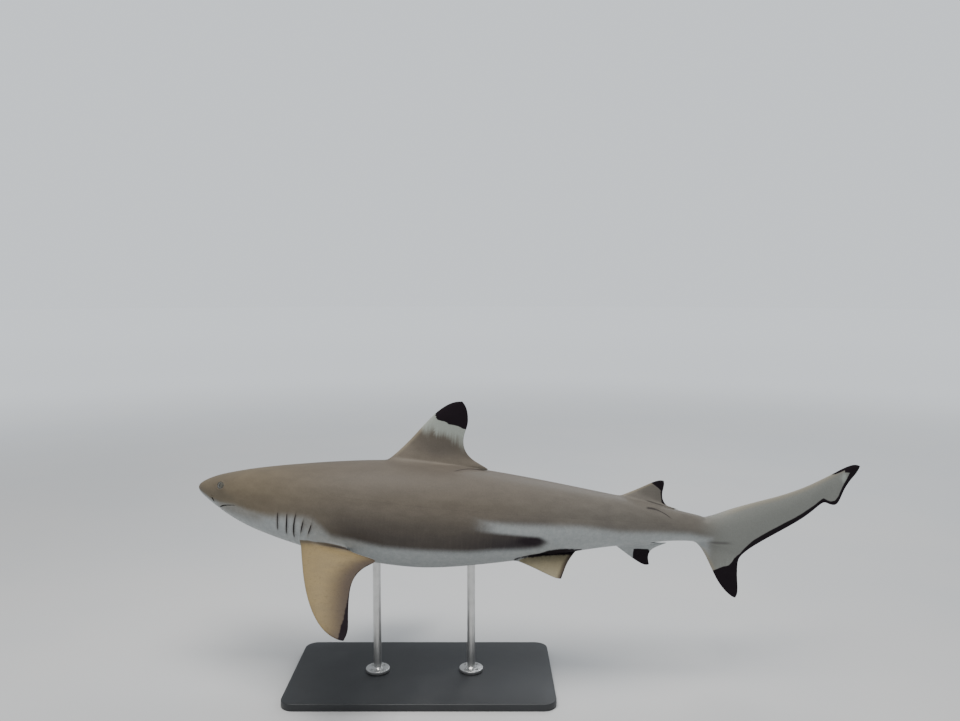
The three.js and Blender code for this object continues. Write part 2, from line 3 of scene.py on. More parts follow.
import bmesh
import bpy
import numpy as np
from mathutils import Matrix, Vector


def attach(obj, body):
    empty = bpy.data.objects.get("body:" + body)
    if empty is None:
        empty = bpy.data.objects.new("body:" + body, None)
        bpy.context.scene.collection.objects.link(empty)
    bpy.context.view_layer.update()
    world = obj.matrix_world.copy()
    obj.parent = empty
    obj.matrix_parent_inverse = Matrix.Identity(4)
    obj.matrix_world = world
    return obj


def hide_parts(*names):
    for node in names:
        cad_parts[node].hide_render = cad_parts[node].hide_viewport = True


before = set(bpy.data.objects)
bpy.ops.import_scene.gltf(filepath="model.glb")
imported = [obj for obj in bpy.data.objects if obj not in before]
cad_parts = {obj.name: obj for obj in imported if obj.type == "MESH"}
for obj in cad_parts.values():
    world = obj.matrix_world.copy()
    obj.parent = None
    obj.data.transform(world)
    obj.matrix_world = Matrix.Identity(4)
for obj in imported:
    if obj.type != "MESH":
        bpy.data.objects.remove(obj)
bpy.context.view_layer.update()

# A blacktip reef shark (Carcharhinus melanopterus), life size, as a still model on a stand.
# Lengths are metres. The shark is first drawn straight, in percent of its total length:
# station from the snout, side to its left, level upwards.


# ---- The pose -------------------------------------------------------------------------------
# The straight animal is laid along a curved spine: the head is turned to its right, and the
# tail a little to the same side. The whole is then rolled, pitched nose up and lifted over its
# stand.

PERCENT = 1.4 / 100
HEAD_TURN = 21
TRUNK_TURN = -1
TAIL_TURN = -4
NECK = (10, 34)
TAIL_SWING = (34, 80)
NOSE_UP = math.radians(4.5)
ROLL = math.radians(-1)
BALANCE = 35
AXIS_HEIGHT = 0.34
SPINE_STEP = 0.2


def smoothstep(value, low, high):
    share = np.clip((value - low) / (high - low), 0, 1)
    return share * share * (3 - 2 * share)


def unit(vectors):
    return vectors / np.linalg.norm(vectors, axis=-1, keepdims=True)


def turn_at(station):
    neck = smoothstep(station, *NECK)
    tail = smoothstep(station, *TAIL_SWING)
    turn = HEAD_TURN + (TRUNK_TURN - HEAD_TURN) * neck + (TAIL_TURN - TRUNK_TURN) * tail
    return np.radians(turn)


spine_stations = np.arange(-5, 105, SPINE_STEP)
spine_turns = turn_at(spine_stations + SPINE_STEP / 2)
spine_steps = np.stack([np.cos(spine_turns), -np.sin(spine_turns)], 1) * SPINE_STEP * PERCENT
spine = np.concatenate([[[0, 0]], np.cumsum(spine_steps, 0)])
spine_knots = np.append(spine_stations, spine_stations[-1] + SPINE_STEP)


def spine_at(station):
    return np.interp(station, spine_knots, spine[:, 0]), np.interp(station, spine_knots, spine[:, 1])


def on_spine(station, side, level):
    middle_x, middle_y = spine_at(station)
    turn = turn_at(station)
    x = middle_x - np.sin(turn) * side * PERCENT
    y = middle_y - np.cos(turn) * side * PERCENT
    return np.stack([x, y, level * PERCENT + x * 0], -1)


lie = np.array(Matrix.Rotation(NOSE_UP, 3, "Y") @ Matrix.Rotation(ROLL, 3, "X"))
balance_point = lie @ on_spine(BALANCE, 0, 0)
lift = np.array([-balance_point[0], -balance_point[1], AXIS_HEIGHT - balance_point[2]])


def place(station, side, level):
    """Points of the straight animal, in the pose."""
    return on_spine(station, side, level) @ lie.T + lift


def straighten(points):
    """Station, side and level of points in the pose."""
    flat = (points - lift) @ lie
    station = np.interp(flat[:, 0], spine[:, 0], spine_knots)
    for _ in range(10):
        turn = turn_at(station)
        middle_x, middle_y = spine_at(station)
        off_x = flat[:, 0] - middle_x
        off_y = flat[:, 1] - middle_y
        station = station + (off_x * np.cos(turn) - off_y * np.sin(turn)) / PERCENT
    turn = turn_at(station)
    middle_x, middle_y = spine_at(station)
    side = -((flat[:, 0] - middle_x) * np.sin(turn) + (flat[:, 1] - middle_y) * np.cos(turn))
    return station, side / PERCENT, flat[:, 2] / PERCENT


def directions_at(station):
    """Tailwards, to the left and up, at a station."""
    turn = turn_at(station)
    back = lie @ np.array([np.cos(turn), -np.sin(turn), 0])
    left = lie @ np.array([-np.sin(turn), -np.cos(turn), 0])
    return back, left, lie @ np.array([0.0, 0.0, 1.0])


# ---- The body's form ------------------------------------------------------------------------
# Head, trunk, tail stem and the tail fin's upper lobe are one body: sections that are blunt
# ovals up to the stem and a thin blade in the tail fin. The mouth, gill slits and eyelids are
# lines of the same grid, so that the skin runs over them unbroken.

# Where the stem ends, and the tail fin's landmarks. Each table gives a level, half width or
# squareness by station.
STEM_END = 75.7
FORK = 81.2
REAR_NOTCH = 93
TAIL_TIP = 97.9
SNOUT_LEVEL = -0.4
BACK_LINE = [
    (0, -0.4), (1, 0.62), (3, 1.6), (6, 2.6), (10, 3.7), (16, 5.05), (22, 6.15), (29, 7.0),
    (36, 7.2), (44, 6.65), (52, 5.8), (60, 4.75), (67, 3.75), (72, 2.75), (75.7, 2.1),
]
BELLY_LINE = [
    (0, -0.4), (1, -1.35), (3, -2.15), (6, -3.35), (10, -4.45), (16, -5.55), (22, -6.5),
    (29, -7.3), (36, -7.55), (44, -6.55), (52, -5.05), (60, -3.3), (67, -2.2), (72, -1.55),
    (75.7, -1.5),
]
WIDEST_LEVEL = [
    (0, -0.4), (6, 0.1), (12, -0.2), (22, -0.3), (34, 0), (50, 0.4), (60, 0.8), (75.7, 0.35),
]
HALF_WIDTH = [
    (0, 0), (1, 1.75), (3, 2.9), (6, 3.9), (10, 4.85), (15, 5.5), (21, 6.0), (28, 6.45),
    (34, 6.6), (41, 6.3), (48, 5.45), (55, 4.35), (63, 3.05), (70, 1.95), (75.7, 1.35),
]
UPPER_SQUARENESS = [(0, 2.0), (8, 2.15), (30, 2.1), (75.7, 2.0)]
LOWER_SQUARENESS = [(0, 2.1), (8, 2.6), (24, 2.4), (50, 2.2), (75.7, 2.0)]
TAIL_BACK = [
    (75.7, 2.1), (76.6, 2.35), (79, 3.35), (82.5, 4.6), (86.5, 5.9), (90, 7.35), (93.5, 9.3),
    (96, 10.75), (97.1, 11.15), (97.9, 10.95),
]
TAIL_REAR_MARGIN = [
    (81.2, -3.5), (82.3, -2.45), (84.2, -1.1), (87, 0.7), (89.8, 2.5), (91.6, 4.0), (93, 5.5),
]
END_LOBE = [
    (93, 5.5), (93.7, 5.1), (94.5, 4.92), (95.1, 5.1), (95.5, 6.1), (95.9, 7.5), (96.7, 8.9),
    (97.5, 9.95), (97.9, 10.9),
]
LOWER_LOBE_LINE = [(75.7, -1.5), (78.5, -2.3), (81.2, -3.5)]
TAIL_HALF_WIDTH = [
    (75.7, 1.35), (78, 1.12), (81, 0.86), (85, 0.6), (90, 0.42), (94, 0.3), (97, 0.17),
    (97.9, 0.1),
]
# Where the tail blade is thickest, as a share of the way down, and half the thickness that a
# fin keeps at its rear edge.
TAIL_THICKEST = 0.36
FIN_EDGE = 0.00045 / PERCENT


def smooth_curve(table, warp=lambda distance: distance):
    knots = warp(np.array([float(distance) for distance, _ in table]))
    values = np.array([float(value) for _, value in table])
    spans = np.diff(knots)
    chords = np.diff(values) / spans
    inner = (chords[:-1] * spans[1:] + chords[1:] * spans[:-1]) / (spans[:-1] + spans[1:])
    slopes = np.concatenate([chords[:1], inner, chords[-1:]])

    def curve(distance):
        at = np.clip(warp(np.maximum(distance, 0)), knots[0], knots[-1])
        i = np.clip(np.searchsorted(knots, at, side="right") - 1, 0, len(spans) - 1)
        share = (at - knots[i]) / spans[i]
        rise = share * share * (3 - 2 * share)
        from_start = share * (1 - share) ** 2 * spans[i] * slopes[i]
        from_end = share * share * (share - 1) * spans[i] * slopes[i + 1]
        return values[i] * (1 - rise) + values[i + 1] * rise + from_start + from_end

    return curve


back_line = smooth_curve(BACK_LINE, np.sqrt)
belly_line = smooth_curve(BELLY_LINE, np.sqrt)
half_width = smooth_curve(HALF_WIDTH, np.sqrt)
widest_level = smooth_curve(WIDEST_LEVEL)
upper_squareness = smooth_curve(UPPER_SQUARENESS)
lower_squareness = smooth_curve(LOWER_SQUARENESS)
tail_back = smooth_curve(TAIL_BACK)
tail_rear_margin = smooth_curve(TAIL_REAR_MARGIN)
end_lobe = smooth_curve(END_LOBE)
lower_lobe_line = smooth_curve(LOWER_LOBE_LINE)
tail_half_width = smooth_curve(TAIL_HALF_WIDTH)


def tail_under(station):
    behind = np.where(station <= REAR_NOTCH, tail_rear_margin(station), end_lobe(station))
    return np.where(station <= FORK, lower_lobe_line(station), behind)


def half_section(station, above):
    """The widest level, and how far and how squarely a section goes up or down from it."""
    level = widest_level(station)
    reach = np.where(above, back_line(station) - level, level - belly_line(station))
    return level, reach, np.where(above, upper_squareness(station), lower_squareness(station))


def body_section(station, angle):
    upward = np.cos(angle)
    level, reach, squareness = half_section(station, upward > 0)
    out = (1 - np.abs(upward) ** squareness).clip(0) ** (1 / squareness)
    return half_width(station) * out * np.sign(np.sin(angle)), level + upward * reach


def tail_section(station, angle):
    upward = np.cos(angle)
    share = np.abs(upward)
    top = tail_back(station)
    under = tail_under(station)
    wide = tail_half_width(station)
    blade = smoothstep(station, STEM_END, FORK + 4)
    thickest = top - (top - under) * TAIL_THICKEST
    stem_level = widest_level(STEM_END)
    level = stem_level + (thickest - stem_level) * np.minimum(blade * 4, 1)
    lower = (1 - share ** (2 - 0.5 * blade)).clip(0) ** (0.5 + 0.5 * blade)
    thin = np.where(share < 0.9999, FIN_EDGE * blade / wide, 0)
    out = np.where(upward > 0, np.sqrt((1 - share * share).clip(0)), np.maximum(lower, thin))
    reach = np.where(upward > 0, top - level, level - under)
    return wide * out * np.sign(np.sin(angle)), level + upward * reach


def section(station, angle):
    """Side and level of a point at an angle from the back."""
    both = zip(body_section(station, angle), tail_section(station, angle))
    return tuple(np.where(station <= STEM_END, body, tail) for body, tail in both)


def angle_of(station, side, level):
    """The angle round a body section, from the back, of a point on it or near it."""
    middle, reach, squareness = half_section(station, level > widest_level(station))
    across = np.abs(side) / half_width(station)
    upward = (level - middle) / reach
    size = (across**squareness + np.abs(upward) ** squareness) ** (1 / squareness)
    return np.arccos(np.clip(upward / size, -1, 1))


# The grid: rings of 36 columns. Column 0 runs along the back, column 18 along the belly. A ring
# is given on the left half as 19 stations and angles, and mirrored.
COLUMNS = 36
HALF = COLUMNS // 2
COLUMN_DEGREES = 360 / COLUMNS
regular_angles = np.linspace(0, math.pi, HALF + 1)

# The mouth, from the middle of its front to its corner, as (degrees from the back, station).
MOUTH_LINE = [
    (180, 4.85), (160, 4.95), (142, 5.35), (127, 6.0), (115, 7.1), (107.5, 8.4), (101.6, 9.9),
]
# The column of its corner, and where the ring through it crosses the back.
MOUTH_COLUMN = 10
MOUTH_TOP_STATION = 9.0
# The gap between the lips at the middle and at the corner, and how wide the lips roll.
LIP_GAP = (0.27, 0.06)
LIP_ROLL = 0.3
NUDGE = 0.001


def spline(points, per_span=40):
    """A smooth line of many points through a few."""
    knots = np.array(points, float)
    padded = np.concatenate([knots[:1], knots, knots[-1:]])
    shares = np.linspace(0, 1, per_span, endpoint=False)[:, None]
    line = []
    for before, here, there, after in zip(padded, padded[1:], padded[2:], padded[3:]):
        start = (there - before) / 2
        end = (after - here) / 2
        cubic = (2 * here - 2 * there + start + end) * shares**3
        square = (3 * there - 3 * here - 2 * start - end) * shares**2
        line.append(cubic + square + start * shares + here)
    return np.concatenate([*line, knots[-1:]])


def along(line, shares, measure=None):
    """Points at shares of a line's length, which may be measured on another line."""
    lengths = np.linalg.norm(np.diff(line if measure is None else measure, axis=0), axis=1)
    way = np.concatenate([[0], np.cumsum(lengths)]) / lengths.sum()
    return np.stack([np.interp(shares, way, values) for values in line.T], -1)


def straight_point(station, angle):
    side, level = section(station, angle)
    return np.stack([station + side * 0, side, level], -1)


mouth_line = spline(MOUTH_LINE)
mouth_line[:, 0] = np.radians(mouth_line[:, 0])
mouth_shares = np.linspace(1, 0, HALF - MOUTH_COLUMN + 1)
mouth_columns = along(
    mouth_line, mouth_shares, straight_point(mouth_line[:, 1], mouth_line[:, 0])
)
above_mouth = np.arange(MOUTH_COLUMN) / MOUTH_COLUMN
corner_angle, corner_station = mouth_columns[0]
mouth_angles = np.concatenate([above_mouth * corner_angle, mouth_columns[:, 0]])
mouth_stations = np.concatenate([
    MOUTH_TOP_STATION + (corner_station - MOUTH_TOP_STATION) * above_mouth**2,
    mouth_columns[:, 1],
])


def beside_mouth(distance):
    """A ring beside the mouth line, towards the jaw if the distance is positive."""
    points = straight_point(mouth_stations, mouth_angles)
    ahead = straight_point(mouth_stations + NUDGE, mouth_angles)
    turned = straight_point(mouth_stations, mouth_angles + NUDGE)
    normals = unit(np.cross(ahead - points, turned - points))
    tangents = np.gradient(points, axis=0)
    tangents[0] = (0, 1, 0)
    tangents[-1] = (0, -1, 0)
    towards = unit(np.cross(tangents, normals))
    towards *= np.sign(towards[-1, 0])
    moved = points + towards * np.reshape(distance, (-1, 1))
    angles = angle_of(moved[:, 0], moved[:, 1], moved[:, 2])
    angles[0] = 0
    angles[-1] = math.pi
    return moved[:, 0], angles


def regular(station):
    return np.full(HALF + 1, float(station)), regular_angles


def fin_rings(stations, columns, pinches, drops=()):
    """Rings through the roots of fins. The columns beside a fin's middle one close up towards
    the root's ends, so that the root is a lens with a blunt front and a sharp rear."""
    rings = []
    for number, (station, pinch) in enumerate(zip(stations, pinches)):
        drop = drops[number] if number < len(drops) else 0
        knots = {0: 0, HALF: 180}
        for column in columns:
            for away, gap in ((-5, -5), (-1, -pinch), (0, 0), (1, pinch), (5, 5)):
                if 0 <= column + away <= HALF:
                    lowered = drop if abs(away) < 2 else 0
                    knots[column + away] = (column + gap) * COLUMN_DEGREES + lowered
        degrees = np.interp(np.arange(HALF + 1), *zip(*sorted(knots.items())))
        rings.append((regular(station)[0], np.radians(degrees)))
    return rings


def rings_between(first, last, *shares):
    return [[a + (b - a) * share for a, b in zip(first, last)] for share in shares]


def flank_columns(numbers, mirror):
    """Columns of the left flank, or their mirror images on the right."""
    return tuple(number * mirror % COLUMNS for number in numbers)


# The gill slits: the stations of the first and the last, and the columns that each runs over.
GILL_ENDS = (16.8, 21.75)
GILL_STATIONS = GILL_ENDS[0] + (GILL_ENDS[1] - GILL_ENDS[0]) * np.linspace(0, 1, 5) ** 0.95
GILL_COLUMNS = ((9, 12), (9, 13), (9, 13), (9, 11), (9, 11))
# The four rings at a slit: how far tailwards of its station, and how proud of the body in mm.
GILL_RINGS = (-0.3, 0, 0.09, 0.34)
GILL_LIFTS = (1.0, 2.1, -1.6, -0.8)
# How far each slit's middle lies tailwards, and its lower end headwards.
GILL_BOWS = (0.02, 0.05, -0.1, -0.06, 0)
GILL_LEANS = (0.08, 0.18, 0.36, 0.66, 0.98)
# How some slits are shifted down or shortened: (column, degrees) there.
LOW_SLITS = {
    0: [(6, 60), (9, 93), (12, 123), (13, 131), (14, 140), (18, 180)],
    1: [(6, 60), (9, 92), (13, 127), (14, 138), (18, 180)],
    3: [(6, 60), (9, 98), (11, 119), (12, 129), (13, 138), (14, 147), (18, 180)],
    4: [(6, 60), (9, 102), (11, 118), (12, 127), (13, 136), (14, 145), (18, 180)],
}
FACE_END = 3.2
GILLS_START = 15.6

rings = []
marks = {}


def add_rings(new, **named):
    """Adds rings, and remembers the number of each one named by its place in the list."""
    for name, place_in_list in named.items():
        marks[name] = len(rings) + place_in_list
    rings.extend(new)


face_end = regular(FACE_END)
lips = np.interp(
    np.arange(HALF + 1), [0, MOUTH_COLUMN, HALF], [0.14, LIP_GAP[1], LIP_GAP[0]]
)
upper_roll = beside_mouth(-LIP_ROLL)
lower_roll = beside_mouth(lips + LIP_ROLL)
gills_start = regular(GILLS_START)

add_rings(map(regular, (0.12, 0.45, 1.0, 1.7, 2.4, FACE_END)))
add_rings(
    rings_between(face_end, upper_roll, 0.09, 0.18, 0.29, 0.39, 0.49, 0.59, 0.69, 0.8, 0.9),
    nostril=2, eye=2,
)
add_rings([upper_roll, beside_mouth(lips * 0), beside_mouth(lips), lower_roll], mouth=1)
add_rings(rings_between(lower_roll, gills_start, 0.14, 0.33, 0.54, 0.77, 1))


def gill_shift(number, degrees):
    """How far a gill slit lies tailwards of its station, by the degrees from the back."""
    down = np.clip((degrees - 90) / 35, 0, 1)
    lean = GILL_BOWS[number] * np.sin(math.pi * down) - GILL_LEANS[number] * down
    return lean * (1 - smoothstep(degrees, 130, 160))


for number, gill_station in enumerate(GILL_STATIONS):
    degrees = np.degrees(regular_angles)
    if number in LOW_SLITS:
        moved = np.interp(np.arange(HALF + 1), *zip(*LOW_SLITS[number]))
        degrees = np.where(degrees > 60, moved, degrees)
    first, last = GILL_COLUMNS[number]
    opening = np.clip(np.sin(math.pi * (np.arange(HALF + 1) - first) / (last - first)), 0.35, 1)
    steps = [GILL_RINGS[0], GILL_RINGS[1], GILL_RINGS[2] * opening, GILL_RINGS[3]]
    new = [
        (gill_station + step + gill_shift(number, degrees), np.radians(degrees)) for step in steps
    ]
    add_rings(new, **{f"gill_{number}": 1})
marks["pectoral"] = marks["gill_3"] - 1
add_rings(
    fin_rings(
        (22.3, 23.1, 24.0, 24.8, 25.5, 26.6), (13,), (1, 0.95, 0.82, 0.62, 0.38, 0.7), (4, 3, 2, 1),
    ),
    pectoral_end=4,
)
add_rings([regular(28)])
add_rings(
    fin_rings(
        (29.4, 30.6, 32, 33.5, 35.1, 36.7, 38.3, 39.8, 41.1, 42.2, 43.3), (0,),
        (0.8, 1.18, 1.44, 1.53, 1.61, 1.66, 1.68, 1.48, 1.0, 0.45, 0.7),
    ),
    first_dorsal=0, first_dorsal_end=9,
)
add_rings(map(regular, (45, 46.8)))
add_rings(
    fin_rings((48.3, 49.3, 50.4, 51.5, 52.6, 53.5), (15,), (0.7, 0.87, 0.88, 0.7, 0.35, 0.7)),
    pelvic=0, pelvic_end=4,
)
add_rings(map(regular, (55.6, 58.5, 61.2)))
add_rings(
    fin_rings(
        (62.9, 63.7, 64.7, 65.8, 66.8, 67.7, 68.5, 69.3, 70, 70.7), (0, HALF),
        (0.9, 1.3, 1.67, 1.8, 1.73, 1.5, 1.3, 1.0, 0.7, 0.4),
    ),
    second_dorsal=0, second_dorsal_end=9, anal=0, anal_end=5,
)
add_rings(map(regular, (71.9, 73.3)))
add_rings(
    map(regular, (74.6, 75.2, 75.9, 76.7, 77.7, 78.8, 80.1, FORK)), lower_lobe=0, lower_lobe_end=7,
)
add_rings(map(regular, (82.7, 84.4, 86.2, 88.1, 90, 91.6, REAR_NOTCH)))
add_rings(map(regular, (93.7, 94.5, 95.1, 95.5, 95.9, 96.7, 97.4, 97.75)))


def gill_lift(ring, number):
    """How far the skin stands proud of the body beside a gill slit."""
    for slit, (first, last) in enumerate(GILL_COLUMNS):
        place_in_slit = ring - marks[f"gill_{slit}"] + 1
        if 0 <= place_in_slit < len(GILL_LIFTS) and first <= number <= last:
            bow = math.sin(math.pi * (number - first + 0.5) / (last - first + 1))
            return GILL_LIFTS[place_in_slit] / 1000 / PERCENT * bow
    return 0


bpy.ops.object.select_all(action="DESELECT")
bpy.ops.mesh.primitive_uv_sphere_add(
    segments=COLUMNS, ring_count=len(rings) + 1, radius=1, calc_uvs=False
)
skin = bpy.context.object
skin.name = skin.data.name = "shark_skin"
bpy.ops.object.mode_set(mode="EDIT")
grid = bmesh.from_edit_mesh(skin.data)
ring_of = grid.verts.layers.int.new("ring")
column_of = grid.verts.layers.int.new("column")
# How many rows a vertex is out of the grid, its share of the way out to a fin's tip, and how
# much painted shade darkens it inside an opening.
grid.verts.layers.int.new("row")
grid.verts.layers.float.new("fin")
grid.verts.layers.float.new("inside")
for vertex in grid.verts:
    ring = round(math.acos(max(-1, min(1, vertex.co.z))) / math.pi * (len(rings) + 1)) - 1
    column = round(math.atan2(vertex.co.y, vertex.co.x) / (2 * math.pi) * COLUMNS) % COLUMNS
    vertex[ring_of] = ring
    vertex[column_of] = column
    if ring < 0:
        vertex.co = place(0.0, 0.0, SNOUT_LEVEL)
    elif ring >= len(rings):
        vertex.co = place(TAIL_TIP, 0.0, TAIL_BACK[-1][1])
    else:
        number = min(column, COLUMNS - column)
        station = rings[ring][0][number]
        side, level = section(station, rings[ring][1][number])
        middle = widest_level(station)
        stretch = 1 + gill_lift(ring, number) / max(math.hypot(side, level - middle), 0.01)
        side, level = side * stretch, middle + (level - middle) * stretch
        mirror = -1 if column > HALF else 1
        vertex.co = place(station, side * mirror, level)
bmesh.update_edit_mesh(skin.data)
bpy.ops.mesh.select_all(action="SELECT")
bpy.ops.mesh.normals_make_consistent(inside=False)


def select_block(first, last, columns):
    """Selects the grid's faces between two rings and over a few columns."""
    bpy.ops.mesh.select_mode(type="FACE")
    bpy.ops.mesh.select_all(action="DESELECT")
    grid = bmesh.from_edit_mesh(skin.data)
    layers = [grid.verts.layers.int[name] for name in ("ring", "column", "row")]
    for face in grid.faces:
        keys = [[vertex[layer] for layer in layers] for vertex in face.verts]
        face.select_set(all(
            first <= ring <= last and column in columns and row == 0 for ring, column, row in keys
        ))
    bmesh.update_edit_mesh(skin.data)


def chosen():
    """The selected vertices, as (ring, column, vertex)."""
    grid = bmesh.from_edit_mesh(skin.data)
    ring_of, column_of = grid.verts.layers.int["ring"], grid.verts.layers.int["column"]
    return [(vertex[ring_of], vertex[column_of], vertex) for vertex in grid.verts if vertex.select]


def extrude_to(row, position, fin=0.0, inside=0.0):
    """Extrudes the selection, and puts each new vertex at position(ring, column, old place)."""
    bpy.ops.mesh.extrude_region_move(TRANSFORM_OT_translate={"value": (0, 0, 0)})
    grid = bmesh.from_edit_mesh(skin.data)
    row_of = grid.verts.layers.int["row"]
    fin_of = grid.verts.layers.float["fin"]
    inside_of = grid.verts.layers.float["inside"]
    for ring, column, vertex in chosen():
        vertex[row_of] = row
        vertex[fin_of] = fin
        vertex[inside_of] = inside
        vertex.co = position(ring, column, np.array(vertex.co))
    bmesh.update_edit_mesh(skin.data)


# ---- The fins -------------------------------------------------------------------------------
# Stiff blades of cartilage rays under the same skin, round in front, thin behind, and thick
# where they grow out of the body. Each is drawn out of a block of the body's faces, row by row.

def foil(share):
    """Half the thickness of an aerofoil as thick as its chord is long, at a share of the chord."""
    root = 0.2969 * np.sqrt(share) - 0.126 * share
    return 5 * (root - 0.3516 * share**2 + 0.2843 * share**3 - 0.1015 * share**4)


def grow_fin(first, last, columns, fin, to_world, to_plane):
    """Draws a fin out of a block of faces, two faces wide. The fin's own plane has the directions
    along and out; to_world and to_plane go between it and the pose."""
    select_block(first, last, columns)
    base = {}
    for ring, column, vertex in chosen():
        base[ring - first, columns.index(column) - 1] = to_plane(np.array(vertex.co))
    count = last - first
    front = base[0, 0]
    rear = base[count, 0]
    facing = np.sign(base[count // 2, 1][2] - base[count // 2, 0][2])
    leading = spline([front[:2], *fin["leading"]])
    tip = leading[-1]
    inner = spline([rear[:2], *fin["inner"]]) if fin["inner"] else None
    trailing = spline([*(fin["inner"][-1:] or [rear[:2]]), *fin["trailing"], tip])
    inner_rows = fin["inner_rows"]
    rows = [
        (fin["inner_share"] * i / inner_rows, i / inner_rows, None) for i in range(1, inner_rows + 1)
    ]
    for i in range(1, fin["rows"]):
        outer = math.sin(math.pi / 2 * i / fin["rows"])
        rows.append((fin["inner_share"] + (1 - fin["inner_share"]) * outer, None, outer))
    spread = 0.5 - 0.5 * np.cos(math.pi * (np.arange(count + 1) + 0.55) / (count + 1.1))
    for number, (share, on_inner, on_trailing) in enumerate(rows):
        start = along(leading, share)
        end = along(inner, on_inner) if on_trailing is None else along(trailing, on_trailing)
        chord = np.linalg.norm(end - start)
        fade = (1 - share) ** 3
        last_row = number == len(rows) - 1
        push = (tip - (start + end) / 2) if last_row else np.zeros(2)

        def position(ring, column, _):
            c = ring - first
            lane = columns.index(column) - 1
            u = spread[c] if lane or 0 < c < count else float(c == count)
            w = (base[c, 0][0] - front[0]) / (rear[0] - front[0])
            bulge = base[c, 0][1] - (front[1] + (rear[1] - front[1]) * w)
            at = start + (end - start) * u + push * 4 * u * (1 - u)
            half = fin["thickness"] * chord * foil(u) * (1 + fin["root_swell"] * math.exp(-share * 9))
            half = (half + FIN_EDGE * min(1, u * 6)) * lane * facing
            return to_world(at[0], at[1] + bulge * fade, base[c, 0][2] * fade + half)

        extrude_to(number + 1, position, fin=share)


def on_middle(station, level, off):
    return place(station, off, level)


def to_middle(point):
    station, side, level = straighten(point[None])
    return np.array([station[0], level[0], side[0]])


# A fin's outline is given as (aft, out): the leading edge to the tip, the inner edge from the
# root's rear to the free corner behind it, and the trailing edge from there to the tip. Its
# thickness is a share of the chord, and more by the root's swell where it leaves the body. The
# first inner_rows of its rows go over the first inner_share of the way out.
MIDDLE_BACK = (COLUMNS - 1, 0, 1)
MIDDLE_BELLY = (HALF + 1, HALF, HALF - 1)
FIRST_DORSAL = {
    "leading_root": [(26.5, 6.8), (28.6, 7.2)],
    "leading": [(30.6, 8.05), (32.6, 10.25), (34.9, 13.2), (36.6, 15.0), (38.2, 16.0), (39.5, 16.21)],
    "inner": [(44.35, 6.72)],
    "trailing": [(42.0, 7.85), (40.3, 9.05), (40.05, 11.3), (40.3, 12.4), (40.6, 13.1), (40.25, 15.2)],
    "thickness": 0.085, "root_swell": 0.6, "inner_rows": 2, "inner_share": 0.1, "rows": 10,
}
SECOND_DORSAL = {
    "leading_root": [(61.4, 3.9), (63.5, 4.6)],
    "leading": [(65.4, 5.55), (67.4, 6.6), (68.5, 7.0), (69.1, 6.95)],
    "inner": [(71.9, 2.9)],
    "trailing": [(70.5, 3.05), (69.35, 3.8), (69.05, 5.2), (69.25, 6.3)],
    "thickness": 0.08, "root_swell": 0.4, "inner_rows": 2, "inner_share": 0.12, "rows": 8,
}
ANAL = {
    "leading": [(65.2, -4.3), (66.9, -5.25), (67.7, -5.45), (68.1, -5.3)],
    "inner": [(69.0, -2.15), (70.8, -1.9)],
    "trailing": [(69.0, -2.65), (68.05, -3.3), (67.85, -4.2)],
    "thickness": 0.08, "root_swell": 0.5, "inner_rows": 2, "inner_share": 0.12, "rows": 8,
}
LOWER_LOBE = {
    "leading_root": [(72.0, -1.3), (74.4, -1.7)],
    "leading": [(75.6, -2.5), (76.9, -4.6), (78.3, -7.0), (79.7, -8.6), (80.9, -9.45), (81.3, -9.5)],
    "inner": [],
    "trailing": [(81.15, -4.6), (81.25, -6.2), (81.5, -7.8), (81.55, -8.9)],
    "thickness": 0.1, "root_swell": 0.5, "inner_rows": 0, "inner_share": 0, "rows": 10,
}
for name, columns, fin in (
    ("first_dorsal", MIDDLE_BACK, FIRST_DORSAL),
    ("second_dorsal", MIDDLE_BACK, SECOND_DORSAL),
    ("anal", MIDDLE_BELLY, ANAL),
    ("lower_lobe", MIDDLE_BELLY, LOWER_LOBE),
):
    grow_fin(marks[name], marks[name + "_end"], columns, fin, on_middle, to_middle)

# The paired fins lie in a flat plane through their root, which slopes down from the body.
PECTORAL_ROOT = {
    "station": 20.3, "side": 5.2, "level": -4.0, "droop": 30, "inward": 0, "upward": 0.02,
}
PECTORAL = {
    "leading": [(1.1, 3.9), (3.05, 8.2), (5.25, 11.9), (7.4, 14.3), (9.3, 15.4), (10.4, 15.55)],
    "inner": [(6.8, 0.95), (8.8, 1.5), (11.3, 2.15)],
    "trailing": [(9.85, 3.2), (8.9, 4.9), (8.8, 7.2), (9.65, 11.0), (10.5, 14.0)],
    "thickness": 0.095, "root_swell": 0.8, "inner_rows": 3, "inner_share": 0.13, "rows": 12,
}
PELVIC_ROOT = {
    "station": 48.7, "side": 3.0, "level": -5.2, "droop": 35, "inward": 0.3, "upward": 0.2,
}
PELVIC = {
    "leading": [(2.2, 1.55), (4.2, 3.15), (5.8, 4.35), (6.5, 4.55)],
    "inner": [(5.6, -0.3), (7.6, 0.05), (9.8, 0.1)],
    "trailing": [(8.55, 1.05), (7.55, 2.3), (7.0, 3.5)],
    "thickness": 0.08, "root_swell": 0.8, "inner_rows": 2, "inner_share": 0.15, "rows": 7,
}


def paired_plane(root, mirror):
    """The two ways between a paired fin's plane and the pose."""
    origin = place(root["station"], root["side"] * mirror, root["level"])
    back, left, up = directions_at(root["station"] + 3)
    out = left * mirror
    slope = math.radians(root["droop"])
    aft = unit(back - out * root["inward"] + up * root["upward"])
    span = out * math.cos(slope) - up * math.sin(slope)
    off = unit(np.cross(aft, span))
    axes = np.stack([aft, span, off], 1) * PERCENT
    back_to_plane = np.linalg.inv(axes)
    return (
        lambda a, b, t: origin + axes @ np.array([a, b, t]),
        lambda point: back_to_plane @ (point - origin),
    )


